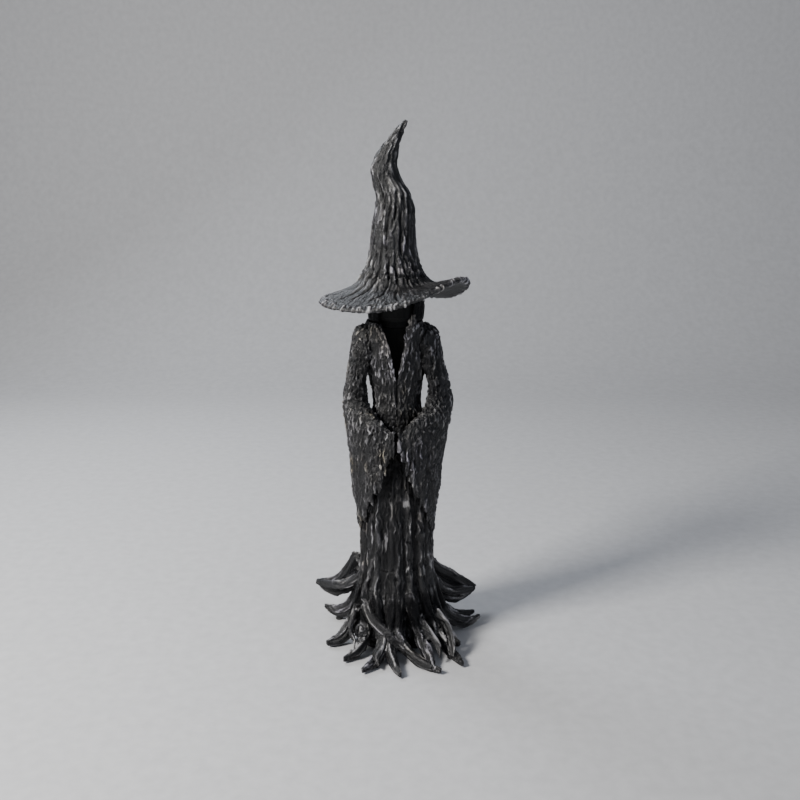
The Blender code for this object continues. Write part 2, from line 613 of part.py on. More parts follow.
def base_group():
    plate = lathe("base_plate", [(RECESS_R - 0.4, PLATE_Z[0]), (RECESS_R - 0.4, PLATE_Z[1])], n=28)
    for x0, x1 in ((-8.0, -5.0), (5.0, 8.0)):
        join(plate, block("lug", (x0, x1), (-27.0, -23.4), (2.5, 7.0)))
    cut(plate, rod("room", (0, CUP_Y, 0), (0, CUP_Y, 20), 16.3, n=24),
        block("slot", (-4.2, 4.2), (19.6, 22.4), (4.0, 11.0)),
        rod("pin_hole", (-20, *HINGE_AT), (20, *HINGE_AT), 1.05),
        rod("pilot", (0, 13.4, 0), (0, 13.4, 8.0), 1.3))
    for degrees in (90, 210, 330):
        x, y = polar(29.5, degrees)
        cut(plate, rod("hole", (x, y, 0), (x, y, 12), 1.5))
    door = lathe("battery_door", [(17.6, 3.6), (17.6, 5.7)], at=(0, CUP_Y), n=24)
    join(door, block("tab", (-3.4, 3.4), (9.0, 16.0), (3.6, 5.7)),
         rod("knuckle", (-4.7, *HINGE_AT), (4.7, *HINGE_AT), 1.65),
         block("arm", (-4.7, 4.7), (-25.2, -20.0), (3.6, 5.6)))
    cut(door, rod("pin_hole", (-20, *HINGE_AT), (20, *HINGE_AT), 1.05),
        rod("hole", (0, 13.4, 0), (0, 13.4, 8.0), 1.3))
    rod("door_pin", (-8.0, *HINGE_AT), (8.0, *HINGE_AT), 0.75, "steel", 12)
    screw("door_screw", (0, 13.4, 7.6), (0, 13.4, 3.3), 1.0, 2.0, 1.2)
    lathe("door_contact", [(14.6, 6.0), (14.6, 7.2)], "steel", (0, CUP_Y), 24)
    body = block("switch_body", (-5.4, 5.4), (17.9, 23.5), (PLATE_Z[1] + GAP, 14.8))
    cut(body, block("track", (-4.2, 4.2), (19.6, 22.4), (8.0, 12.6)))
    block("switch_knob", (-3.9, -0.4), (20.0, 22.0), (4.6, 12.2))


def leads():
    for number, key in enumerate(("lead_red", "lead_black")):
        x = 4.8 + 2.6 * number
        points = [(x - 1.4, 17.6, 54.6), (x - 0.6, 18.6, 60.0), (x, 19.5, 68.5), (x + 0.6, 17.4, 72.0),
                  (x + 2.0, 16.0, 73.2)]
        tube(f"motor_{key}", points, (0.7,) * 5, 2, 6, key)


def put_origin(point, *names):
    """Moves the origin of these pieces onto their joint's axis."""
    place = Vector(point) * MM
    for name in names:
        obj = bpy.data.objects[name]
        obj.data.transform(Matrix.Translation(-place))
        obj.location = place


def main():
    setup()
    root_foot()
    felt_pads()
    front = shell_bosses(robe_half("robe_front", -1), -1)
    cut(front, neckline_cutter())
    shell_bosses(robe_half("robe_rear", 1), 1)
    for side, sign in (("left", -1), ("right", 1)):
        sleeve(f"sleeve_{side}", sign)
        lapel(f"lapel_{side}", sign)
    head_group()
    gear_train()
    gear_frame()
    neck_parts()
    battery_group()
    base_group()
    leads()
    put_origin((0.0, 0.0, 300.0), "hat", "hood", "face_core", "head_hub", "drive_shaft", "output_gear")
    put_origin((*IDLER_AT, sum(GEAR_Z) / 2), "idler_gear")
    put_origin((*PINION_AT, sum(GEAR_Z) / 2), "motor_pinion")
    put_origin((0.0, *HINGE_AT), "battery_door", "door_contact", "door_screw")


main()
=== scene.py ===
"""Looks of the witch figure: bark castings, hollow sleeves, crumbled brim, drive parts."""
import json
import math

import bmesh
import bpy
import numpy as np
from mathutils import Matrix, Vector


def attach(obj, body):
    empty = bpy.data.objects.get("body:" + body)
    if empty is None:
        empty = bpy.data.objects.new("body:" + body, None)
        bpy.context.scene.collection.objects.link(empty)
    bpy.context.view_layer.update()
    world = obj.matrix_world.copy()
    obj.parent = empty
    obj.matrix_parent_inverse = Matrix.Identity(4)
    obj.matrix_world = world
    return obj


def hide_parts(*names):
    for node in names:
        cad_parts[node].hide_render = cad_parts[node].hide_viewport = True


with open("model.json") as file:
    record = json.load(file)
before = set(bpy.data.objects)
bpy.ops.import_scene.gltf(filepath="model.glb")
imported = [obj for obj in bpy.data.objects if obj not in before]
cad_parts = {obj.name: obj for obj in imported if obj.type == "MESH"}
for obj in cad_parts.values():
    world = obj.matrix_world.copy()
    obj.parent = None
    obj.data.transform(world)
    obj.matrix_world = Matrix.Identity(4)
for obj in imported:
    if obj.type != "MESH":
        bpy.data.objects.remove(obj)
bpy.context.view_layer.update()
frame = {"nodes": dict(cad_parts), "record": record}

MM = 0.001

# voxel sizes of the remeshed castings, mm
BARK_VOXEL = 0.85            # robe and hat
FINE_VOXEL = 0.7             # sleeves and hood
THIN_VOXEL = 0.5             # lapels
ROOT_VOXEL = 0.98            # root foot

LEVEL = 0.42                 # bark relief that leaves the skin where it is, but on lapels and hood
# black that the tone attribute mixes the bark paint towards: painted shade in hollows, creases, valleys
# and under the brim, and the black of the cracks and hood
SHADE_AND_BLACK_PAINT = (0.0022, 0.0022, 0.0028)

# robe; a pair is the start and end of a gradual change, mm
SEAM_Z = 76.0                # the robe halves meet the root foot here
SPLIT_NEAR = 0.3             # points this near the plane y = 0 are on the edge of a robe half
SIDE_OVERLAP = 0.7           # how far those edges reach past the plane
FOOT_OVERLAP = 1.8           # how far the lower edge reaches below SEAM_Z
FOLDS_FADE = (105.0, 205.0)
SKIRT_TO_CHEST = (120.0, 196.0)
CREASE_X, CREASE_WIDTH = 0.8, 0.9
CREASE_FOOT, CREASE_TOP = (196.0, 206.0), (244.0, 250.0)
# heights over which the collar top is painted in shade, so no light shows on it between hood and collar
COLLAR_CALM, COLLAR_PAINTED_SHADE = (289.0, 293.0), (292.4, 293.4)

# sleeves
BELL_TO_ARM = (150.0, 215.0)
BELL_TOP = (196.0, 206.0)
# heights where the sleeve is drawn away from the robe and painted in shade under the arm
GAP_FOOT, GAP_TOP = (222.0, 232.0), (240.0, 254.0)
GAP_WIDENED = 2.4            # how far the sleeve is drawn away from the robe there
# heights of the painted shade in the crook of the arm
CROOK_FOOT, CROOK_TOP = (216.0, 230.0), (262.0, 282.0)

# lower edge of a sleeve: angle from the side towards the front (degrees), height of the edge
SLEEVE_EDGE = [(20, 114.0), (27, 116.5), (34, 122.0), (43, 132.0), (57, 146.0), (66, 154.0),
               (74, 167.0), (79, 178.0), (86, 190.0)]
BELL_HEIGHTS = [114.0, 132.0, 154.0, 178.0, 204.0]
BELL_SIDE = [35.6, 38.0, 41.2, 43.2, 46.6]
BELL_FRONT = [35.6, 36.2, 37.2, 37.8, 37.0]

# raised strands on the sleeves: angle from the side towards the front, top and foot height
STRANDS_LEFT = [(76, 194, 163), (67, 160, 147), (48, 139, 126), (33, 128, 116),
                (57, 193, 172), (62, 176, 152), (18, 152, 137), (71, 184, 166)]
STRANDS_RIGHT = [(67, 186, 154), (54, 174, 146), (45, 149, 126), (77, 192, 171),
                 (31, 145, 130), (60, 160, 148), (84, 196, 184), (72, 196, 178)]

# curled edges of the collar, centre lines
LOCK_RIGHT = [(8.8, -19.8, 278.0), (10.6, -22.6, 284.5), (12.4, -25.0, 291.0),
              (13.6, -26.4, 297.0), (14.4, -27.2, 303.0)]
CURL_LEFT = [(-9.5, -20.0, 278.0), (-11.5, -21.2, 283.0), (-14.5, -20.2, 288.0), (-17.5, -17.5, 291.6)]

# hat
BRIM_R = 64.0
RIM_GROOVE_R = 57.4
CROWN_TO_BRIM = (32.0, 42.0)
SOCKET_R, SOCKET_Z = (26.0, 27.5), 331.0

# centre line of the hat's crown: height, sideways offset, mm
CROWN_LINE = [(325.0, -1.6), (355.0, -2.6), (376.0, -1.6), (388.0, -0.2), (399.0, -2.3), (409.0, -7.2),
              (420.0, -10.0), (430.0, -7.6), (440.0, -3.3), (450.0, 4.0), (457.0, 8.4)]

# placed cracks of the hat: (distance down the flow, bearing) pairs, mm and degrees
HAT_CRACKS = [[(-46, -105), (-10, -108), (6, -100)], [(-70, -122), (-48, -124), (-30, -126)],
              [(-46, -88), (-28, -90)], [(-48, -70), (-12, -72), (2, -66)], [(-52, -44), (-32, -48)],
              [(-38, -160), (-10, -165)], [(-20, -50), (-6, -54)],
              [(-28, 182), (20, 184), (50, 168), (72, 180)],
              [(-16, -150), (12, -156), (40, -165), (62, -171)],
              [(-4, -133), (22, -136), (48, -146), (66, -151)],
              [(-12, -118), (20, -119), (44, -130), (64, -137)],
              [(-6, -100), (30, -98), (48, -104), (62, -116)],
              [(2, -84), (34, -84), (50, -88), (64, -86)], [(10, -66), (38, -64), (60, -58)],
              [(6, -45), (36, -46), (58, -40)], [(-30, 20), (20, 24), (62, 30)],
              [(-44, 60), (24, 52), (64, 60)], [(-20, 95), (64, 88)], [(-50, 120), (10, 126), (60, 118)],
              [(-10, 150), (60, 146)]]

# roots: bearing where the root leaves the skirt (degrees), tip (x, y, z), thickness, sideways bend
ROOTS = [(-94, (4.0, -82.0, 4.5), 5.9, -5.0), (-122, (-29.0, -75.0, 4.5), 6.6, 9.0),
         (-139, (-46.0, -56.0, 4.5), 6.2, 5.0), (-158, (-63.0, -28.0, 5.0), 6.4, 0.0),
         (160, (-69.0, 36.0, 10.0), 7.4, -2.0), (143, (-77.0, 45.0, 31.0), 6.8, 0.0),
         (126, (-46.0, 68.0, 5.0), 6.6, 3.0), (101, (-12.0, 80.0, 5.0), 6.8, -5.0),
         (74, (27.0, 78.0, 5.0), 6.6, 5.0), (38, (76.5, 50.0, 22.0), 6.6, 0.0),
         (19, (75.0, 32.0, 6.0), 6.2, 2.0), (2, (79.0, 15.0, 10.0), 6.2, -4.0),
         (-24, (57.5, -30.0, 5.0), 6.2, 4.0), (-47, (58.0, -64.0, 4.5), 6.6, 8.0),
         (-68, (33.0, -72.0, 4.5), 6.2, 5.0), (-88, (39.0, -75.0, 4.5), 5.4, -8.0)]
TRUNK_R = (35.5, 38.5)       # roots leave the trunk here
ROOTS_TO_SKIRT = (46.0, 64.0)
TIPS_R = (54.0, 74.0)
SOLE_Z = (1.4, 3.4)          # the underside stays flat below this
WEB_Z = (24.0, 30.0)

# edges of the two raised side roots' webs, and the strand that joins the left ridge to its root
RIDGE_L = [(-30, 0, 62), (-39, 6, 49), (-51, 19, 39), (-64, 33, 34), (-77, 45, 31)]
FIN_L = [(-29, 15, 65), (-38.5, 18, 71), (-47, 27, 53), (-59, 38, 37.5), (-77, 46, 31.5)]
BED_L = [(-40, 16, 44), (-49, 24.5, 36), (-57.5, 30.5, 31), (-66, 37, 29.5), (-74, 43, 30.5)]
RIDGE_R = [(30, 4, 56), (41, 15, 40), (52, 27, 29), (64, 39, 24), (76, 50, 22)]
FIN_R = [(29, 8, 74), (42, 21, 57), (53, 33, 46), (66, 44, 33), (77, 51, 22.5)]

# the root crossing in front, the knot loop and the side strands with their radii
CROSSING = [(-27, -28, 42), (-20, -36, 31), (-8, -44, 22), (4, -50, 13), (12, -54, 5)]
KNOT = [(-31.5 + 3.4 * math.cos(a), -41.5 - 1.0 * math.cos(a), 25.0 + 5.2 * math.sin(a))
        for a in np.linspace(0.0, 2.0 * math.pi, 13)]
SIDE_STRANDS = [([(-36, -21, 33), (-41, -30, 20), (-37, -38, 12), (-36, -46, 5)], (2.2, 2.4, 2.0, 1.2)),
                ([(22, -34, 30), (30, -42, 20), (37, -50, 12), (38, -58, 6)], (2.6, 2.8, 2.4, 1.4)),
                ([(36, -24, 34), (46, -34, 22), (50, -45, 13), (50, -55, 6)], (2.6, 3.0, 2.6, 1.6)),
                ([(-8, -40, 24), (-12, -52, 12), (-16, -62, 6), (-14, -70, 4.2)], (2.4, 2.8, 2.4, 1.4))]

# bark paint from the grooves to the ridge tops: height in the relief, colour
BARK_STOPS = [(0.0, (0.0020, 0.0020, 0.0028)), (0.34, (0.0070, 0.0068, 0.0080)),
              (0.55, (0.022, 0.021, 0.0225)), (0.74, (0.075, 0.073, 0.076)), (0.94, (0.30, 0.295, 0.30))]

# studio: lights as name, place, size (m), power (W), colour; then the floor and the camera
LIGHTS = [("key", (-0.90, -0.62, 0.95), 0.34, 30.0, (1.0, 0.98, 0.94)),
          ("fill", (1.1, -0.7, 0.55), 0.9, 3.0, (0.80, 0.86, 1.0)),
          ("rim", (-0.6, 0.6, 0.9), 0.5, 7.0, (0.88, 0.93, 1.0))]
LIGHTS_AIM = (0.0, 0.0, 0.2)
FLOOR_REACH, WALL_START, WALL_BEND, WALL_TOP = 3.0, 0.9, 0.5, 3.0
FLOOR_HALF_WIDTH = 4.0
CAMERA_PLACE = (0.0035, -0.8167, 0.4342)
CAMERA_DOWN = 14.5           # degrees below level
CAMERA_LENS, CAMERA_SENSOR = 43.65, 36.0


# ---- small numeric tools -----------------------------------------------------------------
def smoothstep(x, low, high):
    """0 up to low, 1 from high on, a smooth rise between them."""
    t = np.clip((x - low) / (high - low), 0.0, 1.0)
    return t * t * (3.0 - 2.0 * t)


def fall(x, start, end):
    return 1.0 - smoothstep(x, start, end)


def band(x, rising, falling):
    """1 between two gradual changes, 0 beyond them."""
    return smoothstep(x, *rising) * fall(x, *falling)


def hashed(ix, iy, iz, seed):
    """Repeatable 32-bit hash of lattice points."""
    h = (ix.astype(np.uint32) * np.uint32(374761393) + iy.astype(np.uint32) * np.uint32(668265263)
         + iz.astype(np.uint32) * np.uint32(2246822519) + np.uint32(seed) * np.uint32(3266489917))
    h = (h ^ (h >> np.uint32(13))) * np.uint32(1274126177)
    h = (h ^ (h >> np.uint32(15))) * np.uint32(2654435761)
    return h ^ (h >> np.uint32(16))


def noise(p, seed=0):
    """Gradient noise of points (N, 3), about -1 to 1."""
    cell = np.floor(p).astype(np.int64)
    f = p - cell
    fade = f * f * f * (f * (f * 6.0 - 15.0) + 10.0)
    total = np.zeros(len(p))
    for dx in (0, 1):
        for dy in (0, 1):
            for dz in (0, 1):
                h = hashed(cell[:, 0] + dx, cell[:, 1] + dy, cell[:, 2] + dz, seed)
                gx = (h & np.uint32(1023)).astype(float) / 511.5 - 1.0
                gy = ((h >> np.uint32(10)) & np.uint32(1023)).astype(float) / 511.5 - 1.0
                gz = ((h >> np.uint32(20)) & np.uint32(1023)).astype(float) / 511.5 - 1.0
                dot = gx * (f[:, 0] - dx) + gy * (f[:, 1] - dy) + gz * (f[:, 2] - dz)
                wx = fade[:, 0] if dx else 1 - fade[:, 0]
                wy = fade[:, 1] if dy else 1 - fade[:, 1]
                wz = fade[:, 2] if dz else 1 - fade[:, 2]
                total += wx * wy * wz * dot
    return total * 1.5


def bark(grain, across, along, seed, wriggle=0.35):
    """Bark relief 0 to 1 from grain coordinates (two across the flow, one along it), mm."""
    q = grain / np.array([0.58 * across, 0.58 * across, along])
    side = grain / np.array([across * 2.0, across * 2.0, along * 0.36])
    q[:, 0] += wriggle * noise(side, seed + 11)
    q[:, 1] += wriggle * noise(side, seed + 12)
    ridge = smoothstep(noise(q, seed), -0.06, 0.36)
    other = smoothstep(noise(q * np.array([1.35, 1.35, 1.2]), seed + 1), -0.04, 0.34)
    lump = noise(q * np.array([0.4, 0.4, 0.6]), seed + 2)
    return np.clip(0.06 + 0.62 * ridge + 0.36 * other * (1.0 - 0.45 * ridge) + 0.16 * lump, 0.0, 1.0)


def cracks(grain, across, along, seed, width=0.05):
    """Long narrow grooves, 1 at the bottom of a crack."""
    q = grain / np.array([across, across, along])
    bend = grain / np.array([across * 1.3, across * 1.3, along * 0.3])
    q[:, 0] += 0.22 * noise(bend, seed + 5)
    q[:, 1] += 0.22 * noise(bend, seed + 6)
    return 1.0 - smoothstep(np.abs(noise(q, seed)), 0.0, width)


def placed_lines(run, bearing, radius, lines, width, seed):
    """Grooves along given lines, 1 at the bottom; run and radius in mm, bearing in degrees."""
    total = np.zeros(len(run))
    wobble = noise(np.stack([run / 7.0, np.zeros(len(run)), np.zeros(len(run))], 1), seed)
    for number, line in enumerate(lines):
        at = [point[0] for point in line]
        centre = np.interp(run, at, [point[1] for point in line])
        turn = (bearing - centre + 180.0) % 360.0 - 180.0
        off = np.radians(turn) * radius + 1.1 * wobble * math.cos(2.4 * number)
        ends = band(run, (at[0] - 2.0, at[0] + 6.0), (at[-1] - 6.0, at[-1] + 2.0))
        total = np.maximum(total, np.exp(-(off / width) ** 2) * ends)
    return total


def strand_lines(co, sign, strands, width):
    """Ridges down the bell of a sleeve, 1 on the crest."""
    angle = np.degrees(np.arctan2(-co[:, 1], sign * co[:, 0]))
    radius = np.hypot(co[:, 0], co[:, 1])
    total = np.zeros(len(co))
    for number, (at, top, foot) in enumerate(strands):
        lean = 2.5 * math.sin(1.7 * number) * (co[:, 2] - foot) / (top - foot)
        wave = 1.5 * np.sin(co[:, 2] / 2.6 + number) + 1.1 * np.sin(co[:, 2] / 5.7 + 2.3 * number)
        off = np.radians(angle - at - lean) * radius + 0.5 * wave
        ends = band(co[:, 2], (foot - 1.0, foot + 2.0), (top - 6.0, top))
        strength = 0.75 + 0.25 * math.cos(2.1 * number)
        total = np.maximum(total, np.exp(-(off / width) ** 2) * ends * strength)
    return total * smoothstep(noise(co / np.array([5.0, 5.0, 7.0]), 19), -0.75, -0.1)


# ---- grain directions, all in mm ---------------------------------------------------------
def trunk_grain(co):
    """Grain that runs up the robe."""
    angle = np.arctan2(co[:, 1], co[:, 0])
    return np.stack([30.0 * np.cos(angle), 30.0 * np.sin(angle), co[:, 2]], 1)


def crown_centre(z):
    """Sideways offset of the crown at a height."""
    return np.interp(z, [row[0] for row in CROWN_LINE], [row[1] for row in CROWN_LINE])


def hat_grain(co):
    """Grain that runs down the crown and out over the brim."""
    dx = co[:, 0] - crown_centre(co[:, 2])
    radius = np.hypot(dx, co[:, 1])
    angle = np.arctan2(co[:, 1], dx)
    run = (330.0 - co[:, 2]) + radius
    ring = np.minimum(radius, 28.0)
    return np.stack([ring * np.cos(angle), ring * np.sin(angle), run], 1)


def root_points(bearing, tip, thick, bend):
    """Centre line of one root, from inside the skirt to its tip."""
    reach = math.hypot(tip[0], tip[1])
    aim = math.degrees(math.atan2(tip[1], tip[0]))
    turn = (aim - bearing + 180.0) % 360.0 - 180.0
    rise = max(tip[2] - 8.0, 0.0)
    low = 1.3 + 0.55 * thick + 0.9 * rise
    stations = [(26.0, 74.0, 0.0, 0.0), (31.0, 54.0, 0.05, 0.0), (36.5, 33.0 + 0.6 * rise, 0.2, 0.3),
                (45.0, 15.0 + 1.1 * rise, 0.5, 1.0), (0.5 * (45.0 + reach), low, 0.85, 0.75)]
    across = math.radians(aim + 90.0)
    points = []
    for r, z, share, sway in stations:
        a = math.radians(bearing + turn * share)
        points.append((r * math.cos(a) + bend * sway * math.cos(across),
                       r * math.sin(a) + bend * sway * math.sin(across), z))
    return points + [tip]


def smooth_path(points, steps):
    """Catmull-Rom curve through the points."""
    pts = [np.array(p, float) for p in points]
    pts = [2 * pts[0] - pts[1]] + pts + [2 * pts[-1] - pts[-2]]
    out = []
    for k in range(1, len(pts) - 2):
        a, b, c, d = pts[k - 1:k + 3]
        for s in range(steps):
            t = s / steps
            out.append(0.5 * (2 * b + (c - a) * t + (2 * a - 5 * b + 4 * c - d) * t * t
                              + (3 * b - a - 3 * c + d) * t ** 3))
    return np.array(out + [pts[-2]])


def root_grain(co, lines):
    """Offsets across and up from the nearest line and the run along it; then the run left to its end."""
    centres, sides, ups, runs, left = [], [], [], [], []
    for index, line in enumerate(lines):
        path = smooth_path(line, 5)
        tangent = np.gradient(path, axis=0)
        tangent /= np.linalg.norm(tangent, axis=1)[:, None]
        side = np.cross(tangent, [0.0, 0.0, 1.0])
        side /= np.maximum(np.linalg.norm(side, axis=1)[:, None], 1e-6)
        run = np.concatenate([[0], np.cumsum(np.linalg.norm(np.diff(path, axis=0), axis=1))])
        centres.append(path)
        sides.append(side)
        ups.append(np.cross(side, tangent))
        runs.append(run + 97.0 * index)
        left.append(run[-1] - run)
    centres, sides, ups, runs, left = (np.concatenate(x) for x in (centres, sides, ups, runs, left))
    near = np.empty(len(co), int)
    for start in range(0, len(co), 20000):
        part = co[start:start + 20000]
        near[start:start + 20000] = ((part[:, None, :] - centres[None]) ** 2).sum(2).argmin(1)
    offset = co - centres[near]
    tangent = np.cross(ups, sides)[near]
    grain = np.stack([(offset * sides[near]).sum(1), (offset * ups[near]).sum(1),
                      runs[near] + (offset * tangent).sum(1)], 1)
    return grain, left[near]


# ---- meshes ------------------------------------------------------------------------------
def new_mesh(name, verts, faces):
    """Object from points in mm."""
    mesh = bpy.data.meshes.new(name)
    mesh.from_pydata([tuple(float(c) * MM for c in v) for v in verts], [], faces)
    obj = bpy.data.objects.new(name, mesh)
    bpy.context.scene.collection.objects.link(obj)
    outward(obj)
    return obj


def outward(obj):
    """Merges doubled points and turns all faces outward."""
    bm = bmesh.new()
    bm.from_mesh(obj.data)
    bmesh.ops.remove_doubles(bm, verts=bm.verts, dist=1e-6)
    bmesh.ops.recalc_face_normals(bm, faces=bm.faces)
    if bm.calc_volume(signed=True) < 0:
        bmesh.ops.reverse_faces(bm, faces=bm.faces)
    bm.to_mesh(obj.data)
    bm.free()


def copy_node(node, name):
    """A free copy of a CAD node's mesh to work on."""
    obj = bpy.data.objects.new(name, frame["nodes"][node].data.copy())
    bpy.context.scene.collection.objects.link(obj)
    obj.data.materials.clear()
    outward(obj)
    return obj


def coords(obj):
    """Points of obj, mm."""
    co = np.empty(len(obj.data.vertices) * 3)
    obj.data.vertices.foreach_get("co", co)
    return co.reshape(-1, 3) / MM


def set_coords(obj, co):
    obj.data.vertices.foreach_set("co", (co * MM).ravel())
    obj.data.update()


def baked(obj):
    """Applies the modifiers of obj."""
    done = obj.evaluated_get(bpy.context.evaluated_depsgraph_get())
    mesh = bpy.data.meshes.new_from_object(done)
    obj.modifiers.clear()
    obj.data = mesh
    return obj


def cut_away(obj, other):
    mod = obj.modifiers.new("cut", "BOOLEAN")
    mod.operation = "DIFFERENCE"
    mod.solver = "EXACT"
    mod.object = other
    baked(obj)
    bpy.data.objects.remove(other)
    return obj


def absorb(obj, *others):
    """Adds the others' faces; the voxel remesh that follows makes one skin of them."""
    bm = bmesh.new()
    bm.from_mesh(obj.data)
    for other in others:
        bm.from_mesh(other.data)
        bpy.data.objects.remove(other)
    bm.to_mesh(obj.data)
    bm.free()
    return obj


def remesh(obj, voxel, rounds):
    """One even skin, smoothed a few rounds; voxel size in mm."""
    mod = obj.modifiers.new("remesh", "REMESH")
    mod.mode = "VOXEL"
    mod.voxel_size = voxel * MM
    soft = obj.modifiers.new("soft", "SMOOTH")
    soft.factor = 0.5
    soft.iterations = rounds
    return drop_specks(baked(obj))


def drop_specks(obj):
    """Keeps the main body only: a remesh can leave a few loose faces beside it."""
    ends = np.empty(2 * len(obj.data.edges), int)
    obj.data.edges.foreach_get("vertices", ends)
    ends = ends.reshape(-1, 2)
    label = np.arange(len(obj.data.vertices))
    while True:
        low = label[ends].min(axis=1)
        lower = label.copy()
        np.minimum.at(lower, ends[:, 0], low)
        np.minimum.at(lower, ends[:, 1], low)
        lower = lower[lower]
        if (lower == label).all():
            break
        label = lower
    main_body = np.bincount(label).argmax()
    if (label != main_body).any():
        bm = bmesh.new()
        bm.from_mesh(obj.data)
        loose = [vert for vert, name in zip(bm.verts, label) if name != main_body]
        bmesh.ops.delete(bm, geom=loose, context="VERTS")
        bm.to_mesh(obj.data)
        bm.free()
    return obj


def tube(points, radii, n=8, steps=3):
    """Tapered bent tube of n sides."""
    path = smooth_path(points, steps)
    size = np.interp(np.linspace(0, len(radii) - 1, len(path)), range(len(radii)), radii)
    verts, faces, side = [], [], None
    for i, p in enumerate(path):
        tangent = Vector(path[min(i + 1, len(path) - 1)] - path[max(i - 1, 0)]).normalized()
        side = tangent.orthogonal() if side is None else side - tangent * side.dot(tangent)
        side.normalize()
        up = tangent.cross(side)
        for j in range(n):
            a = 2 * math.pi * j / n
            verts.append(Vector(p) + float(size[i]) * (side * math.cos(a) + up * math.sin(a)))
    for i in range(len(path) - 1):
        for j in range(n):
            k = (j + 1) % n
            faces.append((i * n + j, i * n + k, (i + 1) * n + k, (i + 1) * n + j))
    faces += [tuple(range(n)), tuple(range((len(path) - 1) * n, len(path) * n))]
    return new_mesh("tube", verts, faces)


def loft(name, rings):
    """Closed solid through rings of equal length."""
    n = len(rings[0])
    verts = [p for ring in rings for p in ring]
    faces = [tuple(range(n)), tuple(range((len(rings) - 1) * n, len(rings) * n))]
    for k in range(len(rings) - 1):
        for i in range(n):
            j = (i + 1) % n
            faces.append((k * n + i, k * n + j, (k + 1) * n + j, (k + 1) * n + i))
    return new_mesh(name, verts, faces)


def attribute(obj, name, values):
    """Stores a number or a vector for each point, for the material to read."""
    kind = "FLOAT" if values.ndim == 1 else "FLOAT_VECTOR"
    layer = obj.data.attributes.new(name, kind, "POINT")
    layer.data.foreach_set("value" if values.ndim == 1 else "vector", values.astype(np.float32).ravel())


def normals(obj):
    out = np.empty(len(obj.data.vertices) * 3)
    obj.data.vertex_normals.foreach_get("vector", out)
    return out.reshape(-1, 3)


def finish_bark(obj, depth, relief, grain, tone, material, body, slot, *nodes):
    """Pushes the skin out by depth (mm) and stores what the material reads."""
    co = coords(obj)
    moved = co + normals(obj) * depth[:, None]
    set_coords(obj, moved)
    attribute(obj, "relief", np.clip(relief, 0.0, 1.0))
    attribute(obj, "grain", grain * MM)
    # tone is 1 where the paint turns black: painted shade, and the black of the cracks
    attribute(obj, "tone", tone)
    obj.data.materials.clear()
    obj.data.materials.append(material)
    for poly in obj.data.polygons:
        poly.use_smooth = True
    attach(obj, body)
    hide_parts(*nodes)


# ---- materials ---------------------------------------------------------------------------
def node_material(name):
    mat = bpy.data.materials.new(name)
    mat.use_nodes = True
    tree = mat.node_tree
    return mat, tree, tree.nodes["Principled BSDF"]


def add(tree, kind, **values):
    """New node; a value is a property of it or the default of an input."""
    node = tree.nodes.new(kind)
    for key, value in values.items():
        if hasattr(node, key):
            setattr(node, key, value)
        else:
            node.inputs[key.replace("_", " ")].default_value = value
    return node


def ramp(tree, source, stops):
    node = tree.nodes.new("ShaderNodeValToRGB")
    elements = node.color_ramp.elements
    while len(elements) < len(stops):
        elements.new(0.5)
    for element, (at, colour) in zip(elements, stops):
        element.position = at
        element.color = (*colour, 1.0)
    tree.links.new(source, node.inputs["Fac"])
    return node.outputs["Color"]


def fac_ramp(tree, source, low, high, out_low, out_high):
    node = add(tree, "ShaderNodeMapRange", From_Min=low, From_Max=high, To_Min=out_low, To_Max=out_high)
    tree.links.new(source, node.inputs["Value"])
    return node.outputs["Result"]


def grain_noise(tree, scale, stretch, detail, roughness):
    """Noise that follows the stored grain, drawn out along the flow."""
    source = add(tree, "ShaderNodeAttribute", attribute_name="grain")
    place = add(tree, "ShaderNodeMapping", vector_type="POINT")
    place.inputs["Scale"].default_value = (1.0, 1.0, stretch)
    tree.links.new(source.outputs["Vector"], place.inputs["Vector"])
    node = add(tree, "ShaderNodeTexNoise", Scale=scale, Detail=detail, Roughness=roughness)
    tree.links.new(place.outputs["Vector"], node.inputs["Vector"])
    return node.outputs["Fac"]


def weighted(tree, source, weight, added):
    """weight * source + added."""
    node = add(tree, "ShaderNodeMath", operation="MULTIPLY_ADD")
    tree.links.new(source, node.inputs[0])
    node.inputs[1].default_value = weight
    tree.links.new(added, node.inputs[2])
    return node.outputs[0]


def mix_colour(tree, fac, a, b, blend="MIX"):
    node = tree.nodes.new("ShaderNodeMix")
    node.data_type = "RGBA"
    node.blend_type = blend
    for socket, value in ((node.inputs[0], fac), (node.inputs[6], a), (node.inputs[7], b)):
        if isinstance(value, bpy.types.NodeSocket):
            tree.links.new(value, socket)
        elif isinstance(value, tuple):
            socket.default_value = (*value, 1.0)
        else:
            socket.default_value = value
    return node.outputs[2]


